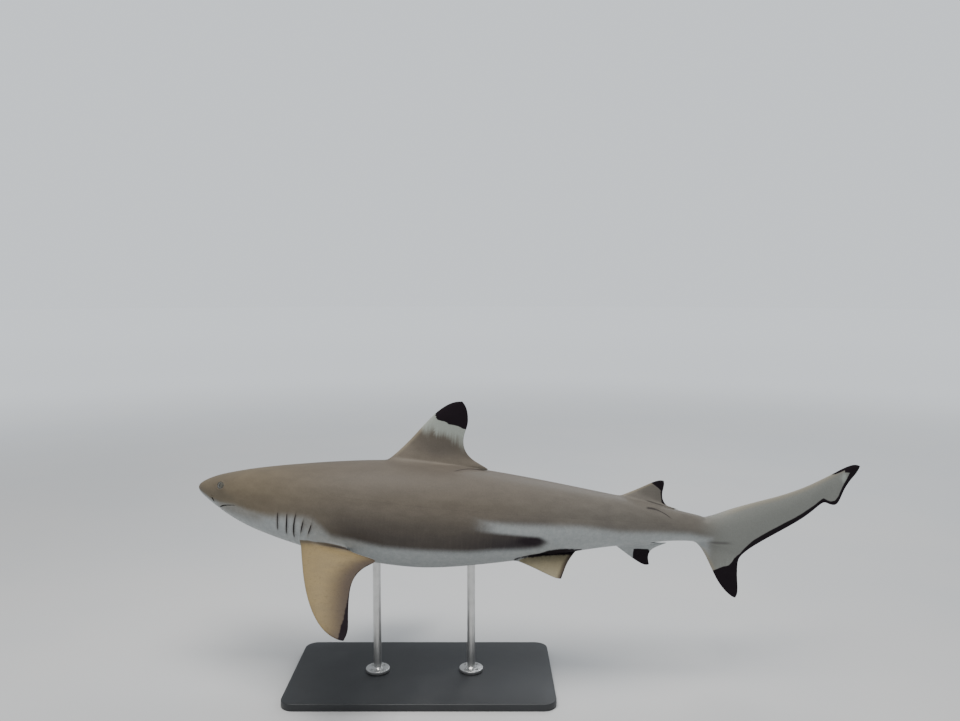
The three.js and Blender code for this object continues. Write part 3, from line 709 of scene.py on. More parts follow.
planes = {}
for mirror in (1, -1):
    for name, fin, root, middle in (
        ("pectoral", PECTORAL, PECTORAL_ROOT, 13), ("pelvic", PELVIC, PELVIC_ROOT, 15),
    ):
        columns = flank_columns((middle - 1, middle, middle + 1), mirror)
        planes[name, mirror] = paired_plane(root, mirror)
        grow_fin(marks[name], marks[name + "_end"], columns, fin, *planes[name, mirror])


# ---- The mouth, gill slits and nostrils -----------------------------------------------------
# Openings in the skin with rounded edges. The mouth is all but closed; the gill slits lie
# under the edges of soft flaps; each nostril is a slanting slit with a small flap over it.

MM = 0.001
# Row by row inwards: depth in mm, and how dark the painted shade makes it there.
MOUTH_ROWS = ((2.5, 0.5), (9, 1))
MOUTH_HEART = (8.8, 0, -1.2)
GILL_ROWS = ((0.5, 0.03), (1.8, 0.3), (3.5, 0.5))


def sink(first, last, columns, rows, heart, opened):
    """Sinks a block of faces towards the heart of an opening, by its width at each column."""
    select_block(first, last, columns)
    for row, (depth, dark) in enumerate(rows):

        def sunk(_, column, old):
            way = unit(place(*heart) - old)
            return old + way * depth * MM * opened(min(column, COLUMNS - column))

        extrude_to(row + 1, sunk, inside=dark)


sink(
    marks["mouth"], marks["mouth"] + 1, range(MOUTH_COLUMN, COLUMNS - MOUTH_COLUMN + 1),
    MOUTH_ROWS, MOUTH_HEART,
    lambda number: 0.12 + 0.88 * smoothstep(number, MOUTH_COLUMN, MOUTH_COLUMN + 3),
)
for slit, (first, last) in enumerate(GILL_COLUMNS):
    for mirror in (1, -1):
        sink(
            marks[f"gill_{slit}"], marks[f"gill_{slit}"] + 1,
            flank_columns(range(first, last + 1), mirror),
            GILL_ROWS, (GILL_STATIONS[slit] - 2.5, 0, -1.5),
            lambda number: 0.1 + 0.9 * math.sin(math.pi * (number - first) / (last - first)) ** 0.7,
        )


def disc(across, down):
    """A square from -1 to 1 turned into a round disc."""
    return across * math.sqrt(1 - down * down / 2), down * math.sqrt(1 - across * across / 2)


def surface_frame(station, degrees, mirror):
    """A point on the skin with the directions tailwards, towards the belly and outwards."""
    angle = math.radians(degrees)

    def at(s, a):
        side, level = section(s, a)
        return place(s, side * mirror, level)

    origin = at(station, angle)
    aft = unit(at(station + 0.1, angle) - origin)
    down = at(station, angle + 0.02) - origin
    down = unit(down - aft * (down @ aft))
    return origin, aft, down, np.cross(down, aft) * mirror


# Its station, and the degrees from the back.
NOSTRIL = (4.75, 113)
NOSTRIL_SLANT = math.radians(42)
# Half length, half width and height in mm, how far the flap reaches over, and the darkness of the
# painted shade.
NOSTRIL_ROWS = (
    (9.6, 6.4, 0.1, 0, 0), (7.9, 4.7, 0.5, 0, 0), (6.9, 3.3, 0.3, 1.0, 0), (6.7, 3.1, -2.2, 1.0, 0.8),
    (6.0, 2.5, -6, 0, 1),
)
for mirror in (1, -1):
    origin, aft, down, outward = surface_frame(*NOSTRIL, mirror)
    columns = flank_columns((11, 12, 13), mirror)
    select_block(marks["nostril"], marks["nostril"] + 2, columns)
    for row, (half_long, half_short, height, flap, dark) in enumerate(NOSTRIL_ROWS):

        def in_nostril(ring, column, _):
            across, under = disc(ring - marks["nostril"] - 1, columns.index(column) - 1)
            slant = math.cos(NOSTRIL_SLANT), math.sin(NOSTRIL_SLANT)
            lengthwise = across * slant[0] + under * slant[1]
            crosswise = under * slant[0] - across * slant[1]
            over = flap * max(crosswise, 0) ** 3
            length = lengthwise * half_long
            width = crosswise * half_short - over
            return origin + MM * (
                aft * (length * slant[0] - width * slant[1])
                + down * (length * slant[1] + width * slant[0])
                + outward * (height + over * 0.5)
            )

        extrude_to(row + 1, in_nostril, inside=dark)


# ---- The eyelids ----------------------------------------------------------------------------
# Thick rounded rims of skin round oval openings, under a low brow. They lie on the eyeballs,
# and turn inwards behind their edges.

EYE_STATION = 6.15
EYE_LEVEL = 1.15
# The eyeball's half length, height and depth, and how far it stands proud of the body, in mm.
EYE_RADII = np.array([14.0, 11.6, 9.5])
EYE_PROUD = 1.5
EYE_TILT = math.radians(22)
# Half length and half height in mm, how much a row follows the eyeball, its height over that in
# mm, and the darkness of the painted shade under the lid.
LID_ROWS = (
    (14.2, 10.8, 0, 0, 0), (11.9, 9.3, 0.75, 0.9, 0), (10.2, 7.9, 1, 1.1, 0), (9.6, 7.2, 1, 0.7, 0.55),
    (9.8, 7.4, 1, -1.0, 1), (8.2, 5.9, 1, -4.0, 1),
)


def side_at(station, level):
    """Half the body's width at a level."""
    middle, reach, squareness = half_section(station, level > widest_level(station))
    inner = (1 - np.minimum(np.abs(level - middle) / reach, 1) ** squareness).clip(0)
    return half_width(station) * inner ** (1 / squareness)


def eye_frame(mirror):
    back, left, up = directions_at(EYE_STATION)
    widening = half_width(EYE_STATION + 0.5) - half_width(EYE_STATION - 0.5)
    look = unit(left * mirror - back * abs(widening))
    look = look * math.cos(EYE_TILT) + up * math.sin(EYE_TILT)
    aft = unit(np.cross(look, up))
    aft *= np.sign(aft @ back)
    up = np.cross(look, aft)
    up *= np.sign(up[2])
    surface = place(EYE_STATION, side_at(EYE_STATION, EYE_LEVEL) * mirror, EYE_LEVEL)
    return surface + look * (EYE_PROUD - EYE_RADII[2]) * MM, aft, up, look


def skin_height(point, look, mirror):
    """How far the body's surface stands beyond a point, along a direction."""
    height = 0.0
    for _ in range(6):
        station, side, level = (values[0] for values in straighten((point + look * height)[None]))
        gap = side_at(station, level) - side * mirror
        height += gap * PERCENT / (look @ directions_at(station)[1] * mirror)
    return height


for mirror in (1, -1):
    centre, aft, up, look = eye_frame(mirror)
    columns = flank_columns((5, 6, 7, 8, 9), mirror)
    select_block(marks["eye"], marks["eye"] + 4, columns)
    for row, (half_long, half_high, follow, over, dark) in enumerate(LID_ROWS):

        def on_lid(ring, column, _):
            across, under = disc((ring - marks["eye"] - 2) / 2, (columns.index(column) - 2) / 2)
            sideways = across * half_long
            upwards = -under * half_high
            spot = centre + (aft * sideways + up * upwards) * MM
            rest = 1 - (sideways / EYE_RADII[0]) ** 2 - (upwards / EYE_RADII[1]) ** 2
            eyeball = EYE_RADII[2] * math.sqrt(max(rest, 0.05))
            surface = skin_height(spot, look, mirror) / MM
            lid = max(surface, eyeball) if follow < 1 else eyeball
            return spot + look * (surface + (lid - surface) * follow + over) * MM

        extrude_to(row + 1, on_lid, inside=dark)

bpy.ops.object.mode_set(mode="OBJECT")
SMOOTHINGS = 2
subdivision = skin.modifiers.new("subdivision", "SUBSURF")
subdivision.levels = subdivision.render_levels = SMOOTHINGS
bpy.ops.object.modifier_apply(modifier=subdivision.name)
bpy.ops.object.shade_smooth()

# ---- The skin's relief and markings ---------------------------------------------------------
# Grey-brown above and white below, with a pale band running forwards into the flank over a dark
# tongue, and black tips and margins on the fins. All are painted by rules on the straight animal.


def all_of(data, name, width):
    """One value or vector of every vertex."""
    values = np.empty(len(data) * width)
    data.foreach_get(name, values)
    return values.reshape(-1, width)


points = all_of(skin.data.vertices, "co", 3)
normals = all_of(skin.data.vertices, "normal", 3)
fin_share = all_of(skin.data.attributes["fin"].data, "value", 1)[:, 0]
station, side, level = straighten(points)


def table(rows):
    stations, levels = zip(*rows)
    return lambda at: np.interp(at, stations, levels)


def spot(at_station, at_level, length, height):
    """One at a place on the flank, fading all round it."""
    return np.exp(-(((station - at_station) / length) ** 2) - ((level - at_level) / height) ** 2)


def window(value, start, full, fading, end):
    """A rise from zero to one, and a fall back to zero."""
    return smoothstep(value, start, full) * (1 - smoothstep(value, fading, end))


# Low swellings and hollows: station, level, length, height and how far out, in mm.
RELIEF = [
    (13.5, -2.2, 3.2, 1.5, 1.6), (8.2, -0.35, 1.8, 0.5, -0.7), (10.9, -1.0, 0.5, 0.6, -0.8),
    (9.8, 1.1, 2.4, 0.8, -0.7), (3.9, 0.3, 1.3, 0.5, -0.5), (22.6, -0.6, 1.2, 1.8, -1.0),
    (75.5, 1.9, 0.5, 0.35, -2.4), (60, 1.6, 12, 0.5, -0.6), (40, 2.0, 14, 0.7, -0.8),
]
on_body = 1 - smoothstep(fin_share, 0.0, 0.04)
for *where, out in RELIEF:
    points = points + normals * (spot(*where) * on_body * out * MM)[:, None]
skin.data.vertices.foreach_set("co", points.ravel())
skin.data.update()

# The brown goes down to the belly ahead, where it ends in a dark tongue, and only to the pale
# band's top behind.
BELLY_EDGE = table([
    (0, -0.4), (1, -0.5), (2.6, -0.75), (4.1, -1.1), (6.5, -1.3), (9.3, -1.05), (11.9, -1.3),
    (14.3, -1.4), (16.2, -1.3), (17.3, -0.95), (18.6, -0.8), (20.6, -0.8), (21.7, -1.1),
    (22.8, -1.9), (23.9, -2.7), (25.2, -2.85), (26.9, -2.95), (30.3, -3.55), (33.4, -3.6),
    (36.8, -3.6), (41.9, -3.5), (45.4, -3.1), (49.8, -2.85), (51.8, -2.6), (53.4, -1.8),
])
EDGE_SOFTNESS = table([
    (0, 0.15), (4, 0.6), (12, 1.1), (19, 1.2), (22, 1.5), (24, 1.0), (28, 0.8),
])
TONGUE_TOP = table([
    (38.3, 0), (40.5, -0.3), (43.5, -0.65), (46.9, -0.75), (51.3, -1.0), (53.3, -1.7),
])
BAND_TOP = table([
    (41.7, 0.75), (43.9, 0.55), (48.5, 0.4), (56.9, 0.4), (59.8, 0.1), (62.8, -0.25),
    (68.7, -0.25), (73.2, -0.3), (77, -1.0), (80, -1.6),
])
BAND_FRONT = (40.0, 48.3)
TONGUE_END = (50.8, 54.6)
softness = EDGE_SOFTNESS(station)
tongue = smoothstep(level, BELLY_EDGE(station) - softness * 1.3, BELLY_EDGE(station) + softness)
under_band = smoothstep(level, TONGUE_TOP(station) - 0.5, TONGUE_TOP(station) + 0.4)
tongue *= 1 - under_band * smoothstep(station, *BAND_FRONT)
tongue *= 1 - smoothstep(station, *TONGUE_END)
upper = smoothstep(level, BAND_TOP(station) - 0.9, BAND_TOP(station) + 1.2)
on_tail = smoothstep(station, 73.5, 79)
# A faint brown goes on under the edge: below the cheeks it is painted shade, behind the gills the
# skin's own brown.
cheek_shade_and_brown = window(station, 3.5, 7, 13.5, 16.8) + window(station, 19.2, 20.5, 25, 29)
cheek_shade_and_brown *= 0.55 * smoothstep(level, -4.0, -1.4)
pigment = np.maximum.reduce([upper, tongue, smoothstep(station, 75, 78), cheek_shade_and_brown])

# The tongue darkens rearwards to a patch at its end, and downwards, partly as painted shade where
# the flank turns under. The skin is darker too in a ring round the eye and in a spot over the anal
# fin.
dark = 1 - smoothstep(level, BELLY_EDGE(station) + 0.6, 2.6)
dark *= window(station, 21.5, 27, 51, 54) * (0.6 + 0.4 * smoothstep(station, 38, 49))
patch = spot(50.4, -1.75, 2.3, 0.7)
eye_ring = spot(EYE_STATION, EYE_LEVEL, 1.25, 0.95) * (1 - smoothstep(level, 2.2, 2.6))
dark = np.clip(dark + 0.25 * eye_ring + 0.5 * spot(66.7, -2.7, 0.9, 0.3), 0, 1)

# Which points lie on which fin.
first_dorsal = (level > 7.2) & (station < 50) & (fin_share > 0.02)
rear_fins = (station > 60) & (station < 74) & (fin_share > 0.02)
second_dorsal = (level > 2.6) & rear_fins
anal = (level < 0) & rear_fins
lower_lobe = (level < -1) & (station > 72) & (fin_share > 0)
upper_lobe = (station > 76) & (fin_share == 0)
pectoral = (level < 0) & (station < 40) & (fin_share > 0.001)
pelvic = (level < 0) & (station > 44) & (station < 60) & (fin_share > 0.001)


def margin(fin, extra=()):
    """How far back a fin's rear margin lies, by the distance out."""
    return table(sorted((out, back) for back, out in [*fin["trailing"], *extra]))


# Where the black of the upright fins ends, and how wide it is along the tail's rear edges.
FIRST_DORSAL_TIP = table([
    (35.85, 14.4), (35.95, 13.6), (36.3, 13.35), (37.45, 13.2), (37.75, 12.9), (39.2, 12.7),
    (39.9, 12.35), (40.6, 12.3),
])
SECOND_DORSAL_TIP = table([(67.2, 6.65), (68.2, 6.0), (68.85, 5.5), (69.6, 5.0)])
LOWER_LOBE_TIP = table([
    (77.5, -5.75), (78.2, -5.3), (79.0, -4.95), (79.8, -4.75), (80.2, -4.3), (80.6, -3.6),
])
TAIL_EDGE = table([
    (79.6, -1.0), (80.8, 0.0), (81.6, 0.55), (83, 0.85), (87, 0.8), (91, 0.72), (92.6, 0.55),
    (93.2, 0.3), (94.2, 0.45), (94.8, 0.6),
])
TAIL_END = table([(5.2, 0.8), (6.2, 0.5), (7.2, 0.45), (9, 0.6), (10, 0.9)])
end_line = spline([(94.6, 4.95), *END_LOBE[3:]], 12)
to_end = np.full(len(points), 9.0)
near_end = station > 93.5
to_end[near_end] = np.min(np.hypot(
    station[near_end, None] - end_line[:, 0], level[near_end, None] - end_line[:, 1]
), axis=1)
black = np.full(len(points), -1.0)


def blacken(where, depth):
    """Takes in a black area, by how far inside it each point lies; below zero is outside."""
    black[where] = np.maximum(black[where], depth[where])


blacken(first_dorsal, level - FIRST_DORSAL_TIP(station))
blacken(second_dorsal, (level - SECOND_DORSAL_TIP(station)) * 0.85)
blacken(second_dorsal & (level > 3.5), 0.26 - (margin(SECOND_DORSAL)(level) - station))
blacken(anal, np.minimum.reduce([
    station - 65.6, -3.05 - level, 67.8 - station + 0.5 * (-3.05 - level).clip(0),
]))
blacken(lower_lobe, LOWER_LOBE_TIP(station) - level)
blacken(lower_lobe, 0.4 - (margin(LOWER_LOBE)(level) - station))
blacken(upper_lobe, TAIL_EDGE(station) - (level - tail_under(station)) * 0.8)
blacken(upper_lobe, TAIL_END(level) - to_end)
below_top = tail_back(station) - level
blacken(upper_lobe, 0.6 * smoothstep(station, 92.2, 95.2) - 0.3 - below_top * 0.84)
blacken(upper_lobe, np.minimum(level - 9.9, (station - 95.6)) * 0.9)
blacken(upper_lobe | lower_lobe, 0.85 - np.hypot(station - 81.6, level + 3.9))

# The paired fins: how wide the black rear margin is, by the distance out, and how far the brown
# beside it reaches.
PECTORAL_RIM = table([
    (6.5, 0.0), (8.5, 0.14), (10.5, 0.32), (12.6, 0.6), (13.8, 0.95), (15.6, 0.7),
])
PELVIC_RIM = table([(2.3, 0.0), (3.6, 0.12), (4.6, 0.25)])
tan = np.zeros(len(points))
brown = np.zeros(len(points))
for name, fin, where, rim_width, brown_width in (
    ("pectoral", PECTORAL, pectoral, PECTORAL_RIM, 4.2), ("pelvic", PELVIC, pelvic, PELVIC_RIM, 1.1),
):
    tip = fin["leading"][-1]
    for mirror in (1, -1):
        here = where & (side * mirror > 0)
        back, out = np.array([planes[name, mirror][1](point) for point in points[here]])[:, :2].T
        behind = margin(fin, [fin["inner"][-1], tip])(out) - back
        shade = smoothstep(normals[here, 2], -0.35, 0.05)
        outer = (out - 0.8 * tip[1]) * 1.2 - 0.25 * behind
        black[here] = np.maximum((rim_width(out) - behind) * 0.5, outer * (1 - shade) - 0.05)
        pigment[here] = np.maximum(shade, pigment[here] * (out < 0.5))
        tan[here] = smoothstep(fin_share[here], 0.0, 0.06)
        near_tip = smoothstep(out, 0.9 * tip[1], tip[1])
        brown[here] = np.maximum(1 - smoothstep(behind, 0.2, brown_width), 0.8 * near_tip)
        # Painted shadow on the pelvic fin, next to the belly.
        if name == "pelvic":
            black[here] = np.maximum(black[here], 0.4 * (0.14 * back - out))
# Painted shadow: a dark band on the belly's side over the pelvic fin.
PELVIC_SHADOW_BAND = table([
    (50.5, -4.4), (52, -3.6), (52.9, -3.2), (54.6, -2.9), (56.2, -2.95), (57.8, -3.1),
])
blacken(fin_share == 0, np.minimum.reduce([
    (PELVIC_SHADOW_BAND(station) - level) * 0.35, 0.5 * (np.abs(side) - 1.0), 57.8 - station,
    0.5 * (station - 50.8),
]))

# The white band under the first dorsal's tip, and the pale front edges of the upright fins.
BAND_REACH = table([
    (33.5, 4.6), (35, 4.2), (36.4, 3.1), (37.6, 2.8), (38.9, 3.5), (39.6, 4.0), (40.5, 4.3),
])
below_tip = FIRST_DORSAL_TIP(station) - level
band = np.where(first_dorsal, 1 - smoothstep(below_tip / BAND_REACH(station), 0.2, 1.1), 0)
band *= smoothstep(station, 33.2, 34.8)
band *= 1 - 0.3 * smoothstep(station, 37, 39.5) * smoothstep(below_tip, 0.3, 1.5)
band = np.maximum(band, np.where(upper_lobe, spot(95.6, 9.1, 0.6, 0.8) * 0.9, 0))
below_lobe = level - LOWER_LOBE_TIP(station)
band = np.maximum(band, np.where(lower_lobe, 0.3 * (1 - smoothstep(below_lobe, 0.1, 2.2)), 0))
lead = np.zeros(len(points))
for where, fin, mirror in (
    (first_dorsal, FIRST_DORSAL, 1), (second_dorsal, SECOND_DORSAL, 1), (lower_lobe, LOWER_LOBE, -1),
):
    front = table(sorted((out * mirror, back) for back, out in fin["leading_root"] + fin["leading"]))
    near_front = 1 - smoothstep(station - front(level * mirror), 0.15, 0.75)
    lead = np.where(where, near_front * smoothstep(fin_share, 0, 0.2), lead)
top_edge = (1 - smoothstep(below_top, 0.15, 0.8)) * smoothstep(station, 77, 80)
lead = np.maximum(lead, np.where(upper_lobe, top_edge * 0.8, 0))

# A shade in the middle of the first dorsal fin, and painted light on the foot of both dorsal fins,
# which makes up for the shade on their upright sides.
shaded = spot(36.8, 9.4, 3.2, 1.7) * first_dorsal * smoothstep(fin_share, 0, 0.25)
painted_light_foot = window(fin_share, 0, 0.08, 0.15, 0.5) * (first_dorsal | second_dorsal)

# Painted shade: the skin darkens into each gill slit, from behind, under the edge of the flap.
flap = np.zeros(len(points))
degrees = np.degrees(angle_of(station, side, level))
for number, (first, last) in enumerate(GILL_COLUMNS):
    ends = np.array([first, last]) * COLUMN_DEGREES
    if number in LOW_SLITS:
        ends = np.interp([first, last], *zip(*LOW_SLITS[number]))
    behind = station - GILL_STATIONS[number] - gill_shift(number, degrees)
    along_slit = window(degrees, ends[0] - 3, ends[0] + 6, ends[1] - 6, ends[1] + 3)
    fade = np.exp(-((behind / np.where(behind < 0, 0.1, 0.26)) ** 2))
    flap = np.maximum(flap, fade * along_slit * (fin_share == 0))
for name, values in {
    "black": black, "pigment": pigment, "dark": dark, "tan": tan, "brown": brown, "band": band,
    "lead": lead, "shaded": shaded, "tail": on_tail, "patch": patch, "flap": flap, "painted_light_foot": painted_light_foot,
}.items():
    skin.data.attributes.new(name, "FLOAT", "POINT").data.foreach_set("value", values)
straight = skin.data.attributes.new("straight", "FLOAT_VECTOR", "POINT")
straight.data.foreach_set("vector", np.stack([station, side, level], 1).ravel())


class Nodes:
    """Short names for the nodes of one material."""

    def __init__(self, name):
        self.material = bpy.data.materials.new(name)
        self.material.use_nodes = True
        self.tree = self.material.node_tree
        self.shader = self.tree.nodes["Principled BSDF"]
        self.place = self.add("TexCoord").outputs["Object"]

    def add(self, kind, inputs=None, **settings):
        made = self.tree.nodes.new("ShaderNode" + kind)
        for name, value in settings.items():
            setattr(made, name, value)
        self.join(made, inputs or {})
        return made

    def join(self, made, inputs):
        for name, value in inputs.items():
            if isinstance(value, bpy.types.NodeSocket):
                self.tree.links.new(value, made.inputs[name])
            else:
                made.inputs[name].default_value = value

    def maths(self, operation, first, second=0.0, third=0.0):
        inputs = {0: first, 1: second, 2: third}
        return self.add("Math", inputs, operation=operation).outputs[0]

    def times(self, first, *others):
        for other in others:
            first = self.maths("MULTIPLY", first, other)
        return first

    def most(self, first, *others):
        for other in others:
            first = self.maths("MAXIMUM", first, other)
        return first

    def ramp(self, value, low, high, start=0.0, end=1.0):
        inputs = {"Value": value, "From Min": low, "From Max": high, "To Min": start, "To Max": end}
        return self.add("MapRange", inputs, interpolation_type="SMOOTHSTEP").outputs[0]

    def blend(self, share, first, second, blend_type="MIX"):
        inputs = {0: share, 6: first, 7: second}
        return self.add("Mix", inputs, data_type="RGBA", blend_type=blend_type).outputs[2]

    def tint(self, colour, tone):
        """A colour made darker or lighter by a grey tone."""
        grey = self.add("CombineXYZ", {axis: tone for axis in "XYZ"}).outputs[0]
        return self.blend(1.0, colour, grey, "MULTIPLY")

    def read(self, name, output="Fac"):
        return self.add("Attribute", attribute_name=name).outputs[output]

    def stretch(self, vector, x, y, z):
        return self.add("Mapping", {"Vector": vector, "Scale": (x, y, z)}).outputs[0]

    def length(self, vector):
        return self.add("VectorMath", {0: vector}, operation="LENGTH").outputs["Value"]

    def noise(self, vector, scale, detail=3.0, roughness=0.55):
        inputs = {"Vector": vector, "Scale": scale, "Detail": detail, "Roughness": roughness}
        return self.add("TexNoise", inputs).outputs[0]

    def line(self, value, middle, half):
        """One on a line, none beyond half its width."""
        off = self.maths("ABSOLUTE", self.maths("SUBTRACT", value, middle))
        return self.ramp(off, 0.0, half, 1.0, 0.0)


HEAD = (0.148, 0.121, 0.083, 1)
TRUNK = (0.138, 0.118, 0.094, 1)
REAR = (0.150, 0.136, 0.117, 1)
BACK_DARK = (0.096, 0.083, 0.071, 1)
FLANK_DARK_AND_SHADE = (0.030, 0.024, 0.026, 1)
PATCH = (0.012, 0.006, 0.010, 1)
BELLY = (0.40, 0.415, 0.41, 1)
BELLY_SHADE = (0.34, 0.36, 0.36, 1)
GILL_SHADE = (0.13, 0.10, 0.09, 1)
TAN = (0.275, 0.208, 0.105, 1)
PELVIC_TAN = (0.30, 0.26, 0.165, 1)
BROWN = (0.060, 0.042, 0.034, 1)
TAIL = (0.235, 0.240, 0.220, 1)
PALE = (0.37, 0.40, 0.36, 1)
BEIGE = (0.31, 0.265, 0.19, 1)
BLACK = (0.008, 0.004, 0.007, 1)
OPENING_SHADE = (0.012, 0.008, 0.008, 1)

n = Nodes("shark_skin")
on_animal = n.read("straight", "Vector")
on_fin = n.read("fin")
apart = n.add("SeparateXYZ", {"Vector": on_animal})
at_station = apart.outputs["X"]
at_level = apart.outputs["Z"]
mottling = n.noise(n.stretch(on_animal, 0.35, 0.8, 0.8), 1.0, 5.0, 0.6)
grain = n.noise(n.place, 420.0, 2.0, 0.6)
blotches = n.noise(on_animal, 1.6, 4.0, 0.6)
streaks = n.noise(n.stretch(on_animal, 3.2, 0.6, 0.45), 1.0, 3.0, 0.5)
rough_edge = n.times(n.maths("SUBTRACT", n.noise(on_animal, 2.2, 4.0, 0.65), 0.5), 0.5)


def roughen(share, edge, amount):
    """A marking whose edge wanders."""
    return n.maths("ADD", n.read(share), n.times(edge, amount))


colour = n.blend(n.ramp(at_station, 9.0, 28.0), HEAD, TRUNK)
colour = n.blend(n.ramp(at_station, 38.0, 64.0), colour, REAR)
colour = n.tint(colour, n.ramp(mottling, 0.25, 0.75, 0.90, 1.10))
top = n.times(n.ramp(at_level, 2.5, 7.0), n.ramp(on_fin, 0.0, 0.1, 0.45, 0.0))
colour = n.blend(top, colour, BACK_DARK)
# Painted light: the foot of both dorsal fins is made lighter.
colour = n.tint(colour, n.ramp(n.read("painted_light_foot"), 0.0, 1.0, 1.0, 1.28))
# The dark tongue, darkened downwards partly by painted shade.
flank = n.times(n.read("dark"), n.ramp(streaks, 0.2, 0.6, 0.86, 1.0))
colour = n.blend(flank, colour, FLANK_DARK_AND_SHADE)
patch_share = n.times(n.read("patch"), n.ramp(streaks, 0.2, 0.7, 0.8, 1.0))
colour = n.blend(n.ramp(patch_share, 0.1, 0.75), colour, PATCH)
colour = n.blend(n.read("tail"), colour, TAIL)
colour = n.blend(n.times(n.read("shaded"), 0.7), colour, BACK_DARK)
tan_share = n.times(n.read("tan"), n.ramp(mottling, 0.25, 0.7, 0.8, 1.0))
colour = n.blend(tan_share, colour, n.blend(n.ramp(at_station, 30.0, 45.0), TAN, PELVIC_TAN))
colour = n.blend(n.times(n.read("brown"), 0.92), colour, BROWN)
white = n.blend(n.ramp(blotches, 0.3, 0.7), BELLY, BELLY_SHADE)
colour = n.blend(n.ramp(roughen("pigment", rough_edge, 0.35), 0.04, 0.96), white, colour)
colour = n.blend(n.times(n.read("lead"), 0.55), colour, BEIGE)
pale_share = roughen("band", n.maths("SUBTRACT", streaks, 0.5), 0.7)
colour = n.blend(n.ramp(pale_share, 0.15, 0.9, 0.0, 0.9), colour, PALE)
black_share = n.ramp(roughen("black", rough_edge, 0.28), -0.05, 0.05)
colour = n.blend(black_share, colour, BLACK)
# Painted shade into the gill slits, under the flaps.
colour = n.blend(n.times(n.read("flap"), 0.42), colour, GILL_SHADE)


# Painted shade in the folds of skin behind the fins, along the pectoral fin's root and at the root of
# the tail's lower lobe; and the lateral line.
def slope(steepness, height):
    """A level that changes evenly along the body."""
    return n.maths("MULTIPLY_ADD", at_station, steepness, height)


def arch(summit, bend, height):
    """A level that is highest at one station."""
    off = n.maths("SUBTRACT", at_station, summit)
    return n.maths("MULTIPLY_ADD", n.times(off, off), bend, height)


def fold(height, half, start, end, strength=1.0):
    """A line along the body, which fades in and out between stations."""
    rising = n.ramp(at_station, *start, 0.0, strength)
    return n.times(n.line(at_level, height, half), rising, n.ramp(at_station, *end, 1.0, 0.0))


# Painted shade in the crease along the pectoral fin's root.
pectoral_root_shade = n.times(n.line(n.read("tan"), 0.3, 0.28), n.ramp(at_station, 22.6, 25.0, 0.2, 1.0))
off_fins = n.ramp(on_fin, 0.0, 0.01, 1.0, 0.0)
rear_arch = arch(66.6, -0.095, 3.2)
fold_shadows = n.most(
    pectoral_root_shade,
    n.times(fold(rear_arch, 0.12, (66.5, 67.2), (69.6, 70.6)), off_fins),
    fold(rear_arch, 0.2, (66.4, 66.9), (67.6, 69.0)),
    fold(arch(41.2, -0.05, 6.87), 0.07, (38.9, 39.4), (42.2, 43.4), 0.8),
)
lines = n.most(
    n.times(fold_shadows, 0.9),
    fold(slope(-0.23, 19.35), 0.16, (66.4, 67.4), (68.8, 70.0), 0.6),
    fold(-1.42, 0.4, (75.8, 77.2), (78.6, 80.2), 0.5),
    n.times(
        fold(slope(-0.03, 3.35), 0.07, (22.0, 26.0), (70.0, 75.0), 0.1),
        n.ramp(on_fin, 0.0, 0.02, 1.0, 0.0),
    ),
)
colour = n.blend(lines, colour, FLANK_DARK_AND_SHADE)

# Sense pores on the snout, and denticles too small to see singly.
pore_cells = n.add("TexVoronoi", {"Vector": on_animal, "Scale": 2.6, "Randomness": 0.9})
pores = n.times(
    n.ramp(pore_cells.outputs["Distance"], 0.05, 0.11, 1.0, 0.0),
    n.ramp(at_station, 5.5, 9.5, 1.0, 0.0), n.ramp(blotches, 0.45, 0.55),
)
colour = n.blend(n.times(pores, 0.55), colour, FLANK_DARK_AND_SHADE)
colour = n.tint(colour, n.ramp(grain, 0.2, 0.8, 0.93, 1.07))
# Painted shade inside the mouth, the gill slits and the nostrils, and under the eyelids' edges.
colour = n.blend(n.ramp(n.read("inside"), 0.05, 0.75), colour, OPENING_SHADE)

relief = n.times(grain, 0.25)
for bumps, height in ((n.noise(n.place, 90.0, 3.0, 0.5), 0.6), (lines, -1.6), (pores, -1.2)):
    relief = n.maths("MULTIPLY_ADD", bumps, height, relief)
bump = n.add("Bump", {"Strength": 0.35, "Distance": 0.0008, "Height": relief})
n.join(n.shader, {
    "Base Color": colour,
    "Roughness": n.maths("MULTIPLY_ADD", black_share, 0.3, n.ramp(mottling, 0.2, 0.8, 0.50, 0.60)),
    "Specular IOR Level": 0.22,
    "Normal": bump.outputs[0],
})
skin.data.materials.append(n.material)

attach(skin, "root")
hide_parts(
    "head", "lower_jaw", "trunk", "tail_stem", "caudal_upper_lobe", "caudal_lower_lobe",
    "first_dorsal_fin", "second_dorsal_fin", "anal_fin", "pectoral_fin_left",
    "pectoral_fin_right", "pelvic_fin_left", "pelvic_fin_right",
)

# ---- The eyeballs ---------------------------------------------------------------------------
# Glass eyes, set into the sockets behind the lids: a brown-grey iris with a dark rim, and a
# black upright slit for a pupil.

# The pupil's half width and half height, in mm.
PUPIL = (1.1, 5.6)
IRIS_DARK = (0.050, 0.046, 0.034, 1)
IRIS_PALE = (0.105, 0.098, 0.074, 1)
IRIS_RIM = (0.030, 0.027, 0.022, 1)
PUPIL_BLACK = (0.002, 0.002, 0.002, 1)

